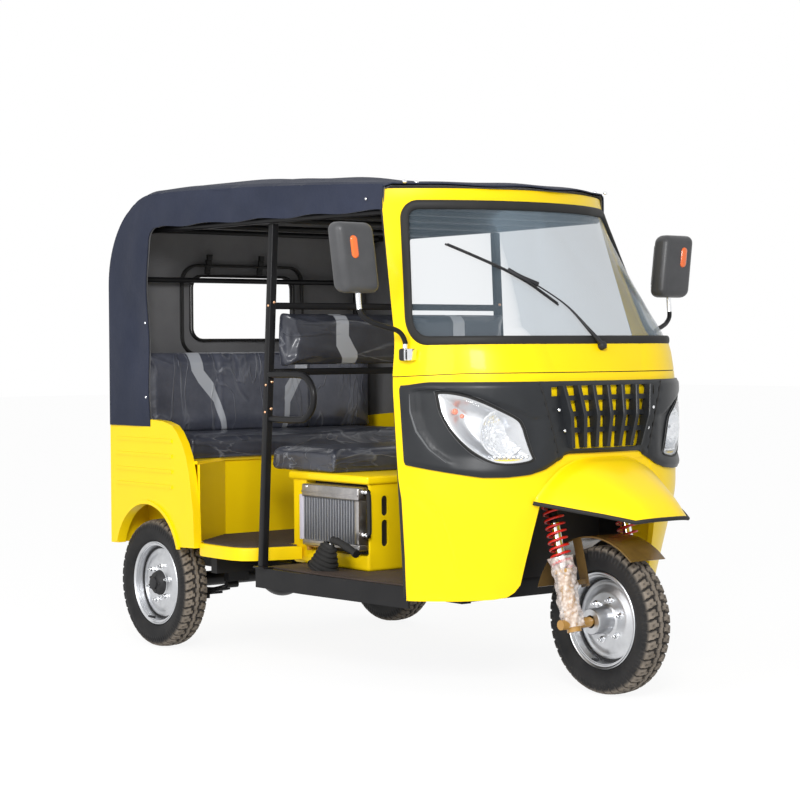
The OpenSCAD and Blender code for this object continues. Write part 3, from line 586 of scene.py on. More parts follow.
def bandPoints(outline, wide, tall, sides=14):  # oval band along an outline of (z, p)
    path = [cabPoint(z, p) for z, p in outline]
    n = len(path)
    points = []
    for k in range(n):
        normal = (cabPoint(*outline[k], 0.05) - path[k]).normalized()
        flat = (path[(k + 1) % n] - path[k - 1]).normalized().cross(normal)
        points += [path[k] + wide * math.cos(a) * flat + tall * math.sin(a) * normal
                   for a in (2 * math.pi * q / sides for q in range(sides))]
    return points, gridFaces(n, sides, True, True)


print("cab")
cowlGap = 0.0016
seamTable = [(1.0, 1.1), (1.5, 1.1), (2.0, 1.088)]  # seam under the cowl by share
wellTable = [(0.385, 1.324), (0.465, 1.277), (0.562, 1.216), (0.635, 1.168), (0.8, 1.065)]  # wheel opening
# rise of the fairing's lower edge
lowTable = [(1.0, 0.060), (1.06, 0.034), (1.13, 0.018), (1.25, 0.011), (1.5, 0.006), (2.0, 0.0)]
swooshTable = [(0.375, 1.669), (0.474, 1.696), (0.559, 1.72), (0.62, 1.753), (0.661, 1.814), (0.696, 1.905),
               (0.733, 2.0)]
lampRows = [(0.799, 1.39, 1.29), (0.811, 1.462, 1.2), (0.838, 1.54, 1.213), (0.864, 1.592, 1.228),
            (0.891, 1.634, 1.243), (0.918, 1.668, 1.257),
            (0.945, 1.694, 1.287), (0.975, 1.715, 1.38), (1.002, 1.722, 1.475), (1.023, 1.727, 1.57),
            (1.033, 1.725, 1.66)]
cornerLength = 0.59  # metres of wall for one step of the share round a corner


def seamHeight(p):
    return lookup(abs(p), seamTable)


def swooshDip(z, p):
    across = (abs(p) - lookup(z, swooshTable)) * cornerLength  # grows towards the door
    if z > 0.745:
        return 0.0
    fade = smooth((0.75 - z) / 0.08) * smooth((z - 0.36) / 0.12)
    return -fade * (0.011 * smooth((across + 0.004) / 0.014) - 0.006 * smooth((across - 0.012) / 0.05))


def fairing():
    data = {"wall": 0.02, "wellTop": 0.8, "corner": 56, "front": 12, "lowRows": 40, "highRows": 26}
    shares = steps(-doorShare, -1, data["corner"])
    shares += steps(-1, 1, data["front"])[1:-1]
    shares += steps(1, doorShare, data["corner"])
    low = lambda q: cabSections[0]["z"] + lookup(abs(q), lowTable)
    heights = lambda q: (steps(low(q), data["wellTop"], data["lowRows"])
                         + steps(data["wellTop"], seamHeight(q) - cowlGap, data["highRows"])[1:])

    def share(z, q):
        well, a, side = lookup(z, wellTable), abs(q), -1 if q < 0 else 1
        return side * (a * well if a <= 1 else mix(well, 2, a - 1))

    columns = [heights(q) for q in shares]
    rows = range(len(columns[0]))

    def wallPoint(i, j, out):
        z = columns[j][i]
        p = share(z, shares[j])
        return cabPoint(z, p, out + swooshDip(z, p))

    skin = lambda out: [[wallPoint(i, j, out) for j in range(len(shares))] for i in rows]
    lampEdge = lambda z, column: lookup(z, [(row[0], row[column]) for row in lampRows])
    inLamp = lambda z, p: 0.81 < z < 1.02 and lampEdge(z, 2) < abs(p) < lampEdge(z, 1)

    def keep(i, j):
        q = (shares[j] + shares[j + 1]) / 2
        z = (columns[j][i] + columns[j + 1][i + 1]) / 2
        return not (i < data["lowRows"] - 1 and abs(q) < 1) and not inLamp(z, share(z, q))

    points, faces = shell(skin(0.0), skin(-data["wall"]), keep)
    obj = meshObject("fairingShell", points, faces)
    dress(obj, yellowPaint, angle=50)
    cheeks = []
    for side in (-1, 1):
        back = wheelbase - 0.232
        outer, inner = [], []
        for z in steps(0.373, 0.795, 14):
            edge = cabPoint(z, side * (lookup(z, wellTable) + 0.012), -0.012)
            outer.append([place(back, side * 0.294, z), edge + Vector((0, side * 0.004, 0))])
            inner.append([place(back, side * 0.284, z), edge - Vector((0, side * 0.004, 0))])
        cheeks.append(shell(outer, inner))
    points, faces = joined(cheeks)
    dress(meshObject("wheelCheeks", points, faces), yellowPaint, ("front_fairing",))


fairing()


def lampOutline(inset=0.0):
    middle = 0.916
    outer = [(mix(z, middle, inset / 0.117), p - inset / cornerLength) for z, p, q in lampRows]
    inner = [(mix(z, middle, inset / 0.117), q + inset / cornerLength) for z, p, q in lampRows]
    points = spline([(z, p, 0) for z, p in outer + inner[::-1]], 72, closed=True)
    return [(v.x, v.y) for v in points]


browTable = [(1.197, 0.95), (1.26, 0.971), (1.349, 0.993), (1.474, 1.017), (1.588, 1.038), (1.737, 1.047),
             (1.893, 1.046)]  # by share
# edge of the hollow round the lamp, by height
crescentTable = [(0.801, 1.692), (0.847, 1.793), (0.906, 1.865), (0.971, 1.897), (1.037, 1.895)]
# line between the lamp surrounds and the grille panel
jointTable = [(0.831, 1.036), (0.964, 1.101), (1.071, 1.151)]


grilleHalves = (0.163, 0.205)  # half width of the grille's opening at the bottom and top


def maskLow(p):
    a = abs(p)
    if a < 1.5:
        return lookup(a,
                      [(0.86, 0.826), (0.96, 0.82), (1.04, 0.8), (1.12, 0.776), (1.22, 0.76), (1.36, 0.753),
                       (1.5, 0.753)])
    return mix(0.753, 0.793, (a - 1.5) / 0.48)


def maskOut(z, p):
    a = abs(p)
    inCrescent = (lookup(z, crescentTable) - a) * cornerLength
    underBrow = lookup(a, browTable) - z
    basin = smooth(inCrescent / 0.03) * smooth((underBrow + 0.004) / 0.012)
    basin *= smooth((z - 0.77) / 0.06) * smooth((a - 1.1) / 0.12)
    line = abs(a - lookup(z, jointTable)) * cornerLength
    return 0.0145 - 0.011 * basin - (0.004 * (1 - smooth(line / 0.004)) if z < 1.066 else 0.0)


def mask():
    data = {"edge": 1.965, "rows": 54, "cols": 200, "under": 0.002, "grilleLow": 0.842, "grilleTop": 1.055,
            "ear": (0.207, 0.241), "earZ": (1.021, 1.051)}
    shares = steps(-data["edge"], data["edge"], data["cols"])
    top = lambda p: 1.071 - 0.012 * smooth((abs(p) - 1.75) / 0.22)
    lift = lambda t: smooth(t / 0.05) * smooth((1 - t) / 0.05)  # rolls the rim in to the body

    def point(t, p, under):
        z = mix(maskLow(p), top(p), t)
        out = mix(0.004, maskOut(z, p), mix(0.35, 1, lift(t)))
        return cabPoint(z, p, data["under"] if under else out)

    skin = lambda under: [[point(t, p, under) for p in shares] for t in steps(0, 1, data["rows"])]
    obj = meshObject("maskShell", *shell(skin(False), skin(True)))
    for side in (-1, 1):
        outline = [(z, side * p) for z, p in lampOutline(-0.004)]
        cutWith(obj, meshObject("lampCut", *ringBody(outline, -0.03, 0.05)))
    holes = [roundBox(grilleHalves, data["grilleLow"], data["grilleTop"], 0.02, 6)]
    (near, far), (low, high) = data["ear"], data["earZ"]
    for side in (-1, 1):
        holes.append([(side * y, z) for y, z in ((near, low), (far, low), (far, high), (near, high))])
    for hole in holes:
        cutWith(obj, meshObject("grilleCut", *prism(hole, wheelbase - 0.12, wheelbase + 0.06)))
    dress(obj, maskPlastic, ("headlamp_mask",), 32)


mask()


def screen():
    data = {"wall": 0.02, "rows": 60, "cols": 150, "top": 1.738, "half": 1.905, "low": 1.197, "high": 1.684,
            "glass": (-0.012, -0.006), "seal": (0.0165, 0.008)}
    shares = steps(-doorShare, doorShare, data["cols"])
    skin = lambda out: [[cabPoint(mix(seamHeight(p) + cowlGap, data["top"], t), p, out) for p in shares]
                        for t in steps(0, 1, data["rows"])]
    obj = meshObject("screenSurround", *shell(skin(0.0), skin(-data["wall"])))
    outline = roundRect(data["half"], data["low"], data["high"], ((0.085, 0.14), (0.05, 0.085)))
    wide = []  # more points along the straight stretches
    for (z, p), (z2, p2) in zip(outline, outline[1:] + outline[:1]):
        count = max(1, int(max(abs(z2 - z) / 0.03, abs(p2 - p) / 0.06)))
        wide += [(mix(z, z2, k / count), mix(p, p2, k / count)) for k in range(count)]
    cutWith(obj, meshObject("screenCut", *ringBody(wide, -0.05, 0.05, 30)))
    dress(obj, yellowPaint, ("screen_frame",), 45)
    pane = meshObject("screenPane", *ringBody(wide, *data["glass"], 30))
    dress(pane, screenGlass, ("windscreen",), 45)
    inner = [(z + 0.011 * smooth((1.4 - z) / 0.1) - 0.004 * smooth((z - 1.5) / 0.1), p) for z, p in wide]
    dress(meshObject("screenSeal", *bandPoints(inner, *data["seal"])), rubber)
    shares = steps(0.02 - doorShare, doorShare - 0.02, data["cols"])
    strip = [[[cabPoint(seamHeight(p) + dz, p, out) for p in shares] for dz in (-0.006, 0.006)]
             for out in (-0.003, -0.008)]
    dress(meshObject("cowlStrip", *shell(*strip)), rubber)
    door = [cabPoint(z, doorShare, -0.010) for z in steps(0.335, 1.73, 70)]
    trims = [tubePoints(door, 0.0085, 10), tubePoints([Vector((v.x, -v.y, v.z)) for v in door], 0.0085, 10)]
    dress(merged("doorTrim", trims), rubber)


screen()

# share from tip to base: half width, height and station of the edge, station and height of the crest
beakSections = [
    {"at": 0.0, "half": 0.122, "edgeZ": 0.612, "edge": 0.254, "crest": 0.284, "crestZ": 0.619},
    {"at": 0.3, "half": 0.178, "edgeZ": 0.630, "edge": 0.170, "crest": 0.208, "crestZ": 0.688},
    {"at": 0.6, "half": 0.232, "edgeZ": 0.646, "edge": 0.080, "crest": 0.114, "crestZ": 0.750},
    {"at": 0.85, "half": 0.278, "edgeZ": 0.660, "edge": 0.006, "crest": 0.032, "crestZ": 0.796},
    {"at": 1.0, "half": 0.302, "edgeZ": 0.668, "edge": -0.030, "crest": -0.016, "crestZ": 0.814}]


def beak():
    data = {"rows": 36, "cols": 49, "thick": 0.007, "trim": 0.007, "rootZ": 0.76, "flat": 0.19,
            "corner": 0.415}
    keys = ("half", "edgeZ", "edge", "crest", "crestZ")
    lines = {key: spline([(s["at"], s[key], 0) for s in beakSections], 80) for key in keys}
    at = lambda key, t: lookup(t, [(v.x, v.y) for v in lines[key]])

    def point(t, s, drop):
        g = 1 - abs(s) ** 3
        y, z = s * (at("half", t) - drop), mix(at("edgeZ", t), at("crestZ", t), g) - drop
        x = wheelbase + mix(at("edge", t), at("crest", t), g) - (0.005 if drop else 0)
        share = abs(y) / data["flat"]
        if share >= 1:
            angle = math.asin(min(1, (abs(y) - data["flat"]) / data["corner"]))
            share = 1 + angle / cabSection(data["rootZ"])[3]
        base = cabPoint(data["rootZ"], share).x - rearAxle + 0.001
        return place(mix(x, base, smooth((t - 0.86) / 0.14)), y, z)

    shares, cross = steps(0, 1, data["rows"]), steps(-1, 1, data["cols"])
    skin = lambda drop: [[point(t, s, drop) for s in cross] for t in shares]
    obj = meshObject("beakShell", *shell(skin(0), skin(data["thick"])))
    dress(obj, yellowPaint, ("front_beak",), 50)
    base = beakSections[-1]
    root = [[], []]
    for p in steps(-1.27, 1.27, 61):
        y = min(1.0, abs(cabPoint(data["rootZ"], p).y) / base["half"])
        bottom = min(mix(base["edgeZ"], base["crestZ"], 1 - y ** 3) - 0.008, 0.796)
        for side, out in zip(root, (-0.0015, -0.0095)):
            side.append([cabPoint(z, p, out) for z in steps(bottom, 0.801, 6)])
    dress(meshObject("beakRoot", *shell(*root)), yellowPaint)
    rim = [point(t, -1, 0) for t in shares[::-1]]
    rim += [point(0, s, 0) for s in cross]
    rim += [point(t, 1, 0) for t in shares]
    rim = [v - Vector((0, 0, 0.003)) for v in rim]
    dress(meshObject("beakTrim", *tubePoints(rim, data["trim"], 10)), rubber)


beak()

print("canopy")
roof = {"back": -0.286, "front": wheelbase - 0.567, "turn": 0.36, "edge": 1.803, "crown": 0.06,
        "half": 0.65, "end": 0.519, "taper": 0.08,
        "hem": 0.88, "valance": 1.664, "doorway": 0.03, "fillet": 0.05, "thick": 0.004,
        "window": (1.228, 1.488), "windowHalf": 0.255, "bows": (-0.06, 0.3, 0.74, 1.08, 1.36)}
roofRises = [(0.15, 1), (0.5, 0.84), (0.67, 0.56), (0.8, 0.36), (0.9, 0.13), (0.96, 0.05), (1, -0.15)]


def roofHalf(x):
    return mix(roof["half"], roof["end"], max(0, (x - roof["taper"]) / (roof["front"] - roof["taper"])))


def roofEdge(x):
    return roof["edge"] - 0.046 * max(0, (x - 0.2) / (roof["front"] - 0.185)) ** 1.6


def canopyGrid(inset=0.0):
    turnZ = roof["edge"] - roof["turn"]
    line = [(roof["back"], z, math.pi) for z in steps(roof["hem"], turnZ, 34)]
    line += [(roof["back"] + roof["turn"] * (1 + math.cos(a)), turnZ + roof["turn"] * math.sin(a), a)
             for a in steps(math.pi, math.pi / 2, 22)[1:]]
    line += [(x, roofEdge(x), math.pi / 2)
             for x in steps(roof["back"] + roof["turn"], roof["front"], 70)[1:]]
    inner = []
    for x, z, a in line:  # where the side panel ends, opposite each point of the seam
        if a == math.pi:
            inner.append((roof["doorway"],
                          mix(roof["hem"], 1.5, (z - roof["hem"]) / (turnZ - roof["hem"]))))
        elif x < roof["back"] + roof["turn"] - 1e-6:
            t = (math.pi - a) / (math.pi / 2)
            if t < 0.45:
                inner.append((roof["doorway"], mix(1.5, roof["valance"] - roof["fillet"], t / 0.45)))
            else:
                b = math.pi / 2 * (t - 0.45) / 0.55
                inner.append((roof["doorway"] + roof["fillet"] * (1 - math.cos(b)),
                              roof["valance"] - roof["fillet"] * (1 - math.sin(b))))
        else:
            inner.append((max(x, roof["doorway"] + roof["fillet"]), roof["valance"]))
    sideSteps, crossSteps = 16, 47
    grid = []
    for k, (x, z, a) in enumerate(line):
        share = x / roof["front"]
        half = roofHalf(x)
        rise = roof["crown"] * lookup(share, roofRises)
        if a > math.pi / 2:  # rear wall and its turn into the roof
            rise = mix(0.014 * smooth((z - 0.8) / 0.3), roof["crown"], (math.pi - a) / (math.pi / 2))
        late = smooth((share - 0.75) / 0.25)
        sag = 0.0
        if a < math.pi / 2 + 0.3:
            spans = [(p, q) for p, q in zip(roof["bows"], roof["bows"][1:]) if p <= x <= q]
            sag = sum(0.007 * math.sin(math.pi * (x - p) / (q - p)) ** 2 for p, q in spans)
        row = []
        for side in (-1, 1):
            qx, qz = inner[k]
            part = []
            for t in steps(0, 1, sideSteps)[1:]:
                px, pz = mix(x, qx, t), mix(z, qz, t)
                edge = clamp(t * 1.4)
                ripple = 0.0045 * edge * (math.sin(px * 17 + pz * 5) + 0.6
                                          * math.sin(px * 31 - pz * 9 + side))
                pull = 0.006 * math.sin(px * 9.5 + pz * 14) * smooth((0.6 - px) / 0.5) * edge
                wave = 0.004 * math.sin(px * 21 + side) * (1 if t == 1 and px > 0.1 else 0)
                part.append(place(px, side * (roofHalf(px) + 0.006 - inset + ripple + pull), pz + wave))
            cross = []
            if side < 0:
                for s in steps(-1, 1, crossSteps):
                    up = rise * (1 - abs(s) ** 2.2) - sag * (1 - s * s) - inset
                    up -= 0.012 * smooth((abs(s) - 0.965) / 0.035)
                    up += 0.003 * math.sin(s * 11 + z * 7) * math.sin(x * 9 + z * 6) * (1 - s ** 4)
                    width = half + (0.006 - inset) * smooth((abs(s) - 0.9) / 0.1)
                    cross.append(place(x + 0.222 * (1 - s * s) * late + up * math.cos(a), s * width,
                                       z + up * math.sin(a)))
            row += part[::-1] + cross if side < 0 else part
        grid.append(row)
    return grid


def canopy():
    grid = canopyGrid()
    rows, cols = len(grid), len(grid[0])
    obj = meshObject("canopySheet", [p for row in grid for p in row], gridFaces(rows, cols), False)
    window = roundBox((roof["windowHalf"],) * 2, *roof["window"], 0.045, 7)
    hole = prism(window, roof["back"] - 0.1, roof["back"] + 0.05)
    thick = obj.modifiers.new("thick", "SOLIDIFY")
    thick.thickness, thick.offset = roof["thick"], 0
    cutWith(obj, meshObject("windowCut", *hole))
    dress(obj, roofCloth, ("roof_fabric", "side_curtains"), 70)
    grid = canopyGrid(0.008)
    lining = meshObject("canopyLining", [p for row in grid for p in row], gridFaces(rows, cols), False)
    cutWith(lining, meshObject("windowCut", *hole))
    dress(lining, liningCloth, angle=70)


canopy()


print("finish of the solids")


def smoothNodes(angle):  # welds a solid's mesh and shades it round up to an edge angle
    group = bpy.data.node_groups.new("roundShade", "GeometryNodeTree")
    group.interface.new_socket("Geometry", in_out="INPUT", socket_type="NodeSocketGeometry")
    group.interface.new_socket("Geometry", in_out="OUTPUT", socket_type="NodeSocketGeometry")
    make = group.nodes.new
    start, end = make("NodeGroupInput"), make("NodeGroupOutput")
    weld = make("GeometryNodeMergeByDistance")
    weld.inputs["Distance"].default_value = 1e-5
    drop = make("GeometryNodeRemoveAttribute")
    drop.inputs["Name"].default_value = "custom_normal"
    flat, sharp = make("GeometryNodeSetShadeSmooth"), make("GeometryNodeSetShadeSmooth")
    sharp.domain = "EDGE"
    sharp.inputs["Shade Smooth"].default_value = False
    edge, over = make("GeometryNodeInputMeshEdgeAngle"), make("FunctionNodeCompare")
    over.operation = "GREATER_THAN"
    over.inputs[1].default_value = math.radians(angle)
    wire(group, edge, "Unsigned Angle", over, 0)
    wire(group, over, "Result", sharp, "Selection")
    line = [start, weld, drop, flat, sharp, end]
    for a, b in zip(line, line[1:]):
        wire(group, a, 0, b, 0)
    return group


roundShade = smoothNodes(44)


def finishNode(name, material):
    obj = nodes[name]
    obj.modifiers.new("roundShade", "NODES").node_group = roundShade
    for slot in obj.material_slots:
        slot.link = "OBJECT"
        slot.material = material
    if not obj.material_slots:
        obj.data.materials.append(material)


redPaint = paintMaterial("redPaint", (0.62, 0.012, 0.008), (0.5, 0.01, 0.008), 0.3, 0.4, 0.5, 0.12)
goldPaint = paintMaterial("goldPaint", (0.46, 0.25, 0.05), (0.36, 0.19, 0.04), 0.34, 0.4, 0.4, 0.2)
castMetal = metalMaterial("castMetal", (0.18, 0.18, 0.19), (0.28, 0.28, 0.29), 0.45, 0.65, 22.0)
exhaustSteel = metalMaterial("exhaustSteel", (0.3, 0.27, 0.24), (0.2, 0.17, 0.15), 0.35, 0.6, 16.0)
alloy = metalMaterial("alloy", (0.42, 0.43, 0.46), (0.36, 0.37, 0.4), 0.35, 0.5, 24.0)
redLens = paintMaterial("redLens", (0.42, 0.008, 0.006), (0.5, 0.012, 0.008), 0.12, 0.7, 0.2, 0.05)
orangeLens = paintMaterial("orangeLens", (0.85, 0.16, 0.02), (0.75, 0.12, 0.015), 0.18, 0.7, 0.1, 0.0)
mirrorShell = plasticMaterial("mirrorShell", (0.052, 0.053, 0.056), (0.07, 0.071, 0.075), 0.3, 0.42)
brownPlastic = plasticMaterial("brownPlastic", (0.085, 0.05, 0.018), (0.17, 0.105, 0.036), 0.14, 0.26, 0.6)

for name, material in {
        "chassis_frame": blackPaint, "driver_floor": blackPaint, "wheel_well": darkPlastic,
        "roof_tubes": blackPaint, "engine": castMetal, "bench_base": yellowPaint,
        "quarter_panels": yellowPaint, "rear_panel": yellowPaint, "tail_lamps": redLens,
                       "rear_axle": blackPaint,
        "leaf_springs": blackPaint, "exhaust": exhaustSteel, "fork_crown": blackPaint,
                       "fork_legs": goldPaint,
        "front_mudguard": brownPlastic, "handlebar": darkPlastic}.items():
    finishNode(name, material)


print("lamps")


def lampSheet(side, rings, shape):  # rings of the lamp's outline drawn in towards its middle
    outline = lampOutline()
    middle = (0.905, 1.47)
    points = []
    for t in steps(0, 1, rings)[:-1]:
        points += [cabPoint(mix(z, middle[0], t), side * mix(p, middle[1], t), shape(t))
                   for z, p in outline]
    points.append(cabPoint(middle[0], side * middle[1], shape(1)))
    n = len(outline)
    last, tip = (rings - 2) * n, (rings - 1) * n
    faces = [(last + (j + 1) % n, last + j, tip) for j in range(n)]
    return points, gridFaces(rings - 1, n, False, True) + faces


def lampMaterial():
    bright, tree, shader = newMaterial("lampBright", (0.9, 0.91, 0.93), 0.22, Metallic=1.0)
    facets = addNode(tree, "TexVoronoi", Scale=70.0)
    tree.links.new(objectSpace(tree), facets.inputs["Vector"])
    bumpFrom(tree, shader, facets.outputs["Distance"], 0.6, 0.004)
    patches(tree, shader, (0.93, 0.94, 0.96), (0.7, 0.72, 0.76), 30.0)
    return bright


lampBright = lampMaterial()
# painted highlight: a lighter grey than the mask, standing for the lit moulded edge of the crescent
ridgePlastic = plasticMaterial("ridgePlastic", (0.09, 0.094, 0.1), (0.11, 0.115, 0.12), 0.34, 0.46)


def lamps():
    data = {"dishZ": 0.900, "dishShare": 1.375, "dish": 0.078, "depth": 0.03, "gasket": 0.0042}
    bowls, lenses, gaskets, rims, dishes, bulbs, lights, caps = [], [], [], [], [], [], [], []
    for side in (-1, 1):
        bowls.append(lampSheet(side, 14, lambda t: 0.003 - 0.045 * smooth(t / 0.55)))
        lenses.append(lampSheet(side, 12, lambda t: 0.006 + 0.009 * math.sqrt(1 - (1 - t) ** 2)))
        edge = lampOutline(-0.0015)
        gaskets.append(tubePoints([cabPoint(z, side * p, 0.0065) for z, p in edge], data["gasket"], 8,
                                  True))
        far = lampOutline(-0.0085)
        rims.append(tubePoints([cabPoint(z, side * p, 0.0075) for z, p in far], 0.0011, 6, True))
        centre = cabPoint(data["dishZ"], side * data["dishShare"], -0.034)
        axis = (cabPoint(data["dishZ"], side * data["dishShare"], 0.1)
                - centre).normalized() + Vector((0.5, 0, 0))
        profile = [(data["dish"] * t, data["depth"] * t * t) for t in steps(0, 1, 16)]
        profile += [(data["dish"] * 1.05, data["depth"] * 0.97), (data["dish"] * 1.02, data["depth"] * 0.8)]
        dishes.append(lathe(profile, centre, axis, 72))
        caps.append(lathe([(0, 0.03), (0.005, 0.029), (0.008, 0.022), (0.008, 0.0)], centre, axis, 24))
        for z, p, r in ((0.972, 1.64, 0.011), (0.957, 1.6, 0.008)):
            bulbs.append(ball(cabPoint(z, side * p, -0.016), r, 10, 16))
        for k in range(9):
            lights.append(ball(cabPoint(0.82, side * mix(1.225, 1.45, k / 8), -0.004), 0.0075, 8, 14))
    dress(merged("lampBowls", bowls, False), silverPaint, ("headlamp_bowls",), 60)
    dress(merged("lampDishes", dishes, False), lampBright, angle=50)
    dress(merged("lampCaps", caps, False), lampBright, angle=50)
    dress(merged("lampBulbs", bulbs), orangeLens, angle=60)
    dress(merged("lampLights", lights), lampBright, angle=60)
    dress(merged("lampLenses", lenses, False), lensClear, ("headlamp_lenses",), 60)
    dress(merged("lampGaskets", gaskets), rubber)
    dress(merged("lampRims", rims), mirrorShell)
    ridges, lines = [], []
    for side in (-1, 1):
        run = [(z, lookup(z, crescentTable)) for z in steps(0.803, 1.03, 30)]
        ridges.append(tubePoints([cabPoint(z, side * p, maskOut(z, p)) for z, p in run],
                                 lambda t: 0.001 + 0.0035 * math.sin(math.pi * t), 10))
        run = [(z, lookup(z, jointTable)) for z in steps(0.831, 1.066, 24)]
        lines.append(tubePoints([cabPoint(z, side * p, 0.0135) for z, p in run], 0.0024, 8))
    # the crescent ridges carry a painted highlight in their lighter grey, beside the dark joint lines
    dress(merged("maskRidges", ridges), ridgePlastic, angle=60)
    dress(merged("maskLines", lines), rubber, angle=60)


lamps()


def grille():
    data = {"pitch": 0.061, "fins": 3, "deep": 0.041, "ends": 0.024, "base": 0.0095, "nose": 0.0065,
            "apex": 0.004, "bar": 0.0085,
            "bars": (-0.046, 0.009, 0.063)}
    front, middle, tall = wheelbase - 0.0185, 0.951, 0.21
    parts = []
    for k in range(-data["fins"], data["fins"] + 1):
        lean = 0.014 * k / tall
        rows = []
        for z in steps(-tall / 2, tall / 2, 25):
            depth = data["deep"] - (data["deep"] - data["ends"]) * abs(z - data["apex"]) / (tall / 2)
            y = data["pitch"] * k + lean * z
            ring = [(0, -data["base"]), (depth - 0.003, -data["nose"] - 0.001),
                    (depth, -data["nose"] + 0.0015),
                    (depth, data["nose"] - 0.0015), (depth - 0.003, data["nose"] + 0.001),
                    (0, data["base"])]
            rows.append([place(front + x, y + w, middle + z) for x, w in ring])
        points = [p for row in rows for p in row]
        parts.append((points, cappedFaces(len(rows), len(rows[0]))))
    for z in data["bars"]:
        half = mix(*grilleHalves, 0.5 + z / tall) - 0.001
        corners = [place(front + x, y, middle + z + h) for x in (0, 0.013) for y in (-half, half)
                   for h in (-data["bar"], data["bar"])]
        parts.append((corners,
                      [(0, 1, 3, 2), (4, 6, 7, 5), (0, 2, 6, 4), (1, 5, 7, 3), (0, 4, 5, 1), (2, 3, 7, 6)]))
    dress(merged("grilleFins", parts), maskPlastic, ("grille",), 28)
    screws = [bolt(place(wheelbase - 0.006, side * y, z), (1, 0, 0), 0.0055, 0.004, 12) for side in (-1, 1)
              for y, z in ((0.222, 0.975), (0.196, 0.905))]
    dress(merged("grilleScrews", screws), chrome)


grille()


def wiper():
    reach = ((1.187, 0.08, 0.016), (1.243, -0.12, 0.017), (1.329, -0.47, 0.014), (1.405, -1.07, 0.013),
             (1.437, -1.2, 0.009))
    arm = spline([cabPoint(*spot) for spot in reach], 60)
    parts = [tubePoints(arm, lambda t: 0.0085 - 0.006 * smooth(t / 0.62), 10)]
    run = ((1.329, -0.6), (1.368, -0.94), (1.405, -1.1), (1.45, -1.27), (1.502, -1.49), (1.54, -1.652))
    blade = spline([cabPoint(z, p, 0.0035) for z, p in run], 80)
    parts.append(tubePoints(blade, 0.0038, 8))
    spine = [p + Vector((0.0075, -0.004, 0.0035)) for p in blade[2:-2]]
    parts.append(tubePoints(spine, 0.0026, 8))
    clip = spline([cabPoint(z, p, 0.011) for z, p in ((1.40, -1.03), (1.425, -1.16), (1.45, -1.25))], 10)
    parts.append(tubePoints(clip, 0.0085, 10))
    parts.append(lathe([(0, 0.024), (0.009, 0.023), (0.014, 0.018), (0.015, 0.002), (0, 0.002)],
                       cabPoint(1.187, 0.08, 0), (1, 0, 0.3), 28))
    dress(merged("wiperArm", parts), darkPlastic, ("wiper",), 45)


wiper()


def mirrors():
    data = {"x": wheelbase - 0.434, "y": 0.755, "z": 1.488, "half": 0.079, "tall": 0.118, "deep": 0.039,
            "round": 0.03, "lean": 0.13,
            "lens": (0.0145, 0.038), "lensAt": (0.02, 0.034), "glass": (0.062, 0.1), "arm": 0.0085}
    path = [(-0.367, 0.592, 1.165), (-0.368, 0.589, 1.205), (-0.378, 0.609, 1.241), (-0.396, 0.664, 1.26),
            (-0.41, 0.7, 1.273),
            # ahead of the axle, outward and up
            (-0.424, 0.732, 1.3), (-0.432, 0.737, 1.35), (-0.433, 0.736, 1.39)]
    heads, brackets, clamps = bmesh.new(), bmesh.new(), bmesh.new()
    lenses, glasses, arms, ends = [], [], [], []
    for side in (-1, 1):
        lean = lambda z: side * data["lean"] * (z - data["z"])
        y = side * data["y"]
        made = len(heads.verts)
        block(heads, place(data["x"] - data["deep"], y - data["half"], data["z"] - data["tall"]),
              place(data["x"] + data["deep"], y + data["half"], data["z"] + data["tall"]), data["round"], 6)
        heads.verts.ensure_lookup_table()
        for vert in heads.verts[made:]:
            vert.co.y += lean(vert.co.z)
        wide, tall = data["lens"]
        out, up = data["lensAt"]
        ring, points = 40, []
        for ahead, share in ((-0.008, 1.0), (0.0005, 1.0), (0.004, 0.86), (0.005, 0.5)):
            for a in steps(0, 2 * math.pi, ring + 1)[:-1]:
                half = tall - wide if math.sin(a) > 0 else wide - tall
                z = data["z"] + up + half + wide * share * math.sin(a)
                points.append(place(data["x"] + data["deep"] + ahead,
                                    y + side * out + wide * share * math.cos(a) + lean(z), z))
        lenses.append((points, cappedFaces(4, ring)))
        wide, tall = data["glass"]
        outline = roundBox((wide, wide), -tall, tall, 0.03, 8)
        pane = [place(data["x"] - data["deep"] - back, y + w + lean(data["z"] + h), data["z"] + h)
                for back in (-0.002, 0.002) for w, h in outline]
        glasses.append((pane, cappedFaces(2, len(outline))))
        line = spline([place(wheelbase + x, side * out, z) for x, out, z in path], 84)
        arms.append(tubePoints(line, data["arm"], 16))
        ends += [tubePoints(line[64:], data["arm"] + 0.0006, 16),
                 tubePoints(line[4:11], data["arm"] + 0.0006, 16)]
        low, high = sorted((side * 0.578, side * 0.609))
        block(brackets, place(wheelbase - 0.383, low, 1.142), place(wheelbase - 0.351, high, 1.184), 0.009,
              3)
        block(brackets, place(wheelbase - 0.352, low, 1.146), place(wheelbase - 0.33, high, 1.18), 0.003)
        low, high = sorted((side * 0.575, side * 0.611))
        for ahead in (-0.345, -0.327):
            block(clamps, place(wheelbase + ahead - 0.0045, low, 1.143),
                  place(wheelbase + ahead + 0.0045, high, 1.183), 0.003)
    dress(pieceFrom(heads, "mirrorHeads"), mirrorShell, ("mirror_heads",), 50)
    dress(merged("mirrorLenses", lenses), orangeLens, angle=50)
    dress(merged("mirrorGlass", glasses), chrome, angle=30)
    dress(merged("mirrorArms", arms), blackPaint, ("mirror_arms",), 50)
    dress(merged("mirrorEnds", ends), chrome, angle=50)
    dress(pieceFrom(brackets, "mirrorBrackets"), darkPlastic, angle=40)
    dress(pieceFrom(clamps, "mirrorClamps"), chrome, angle=40)


mirrors()

print("wheels")


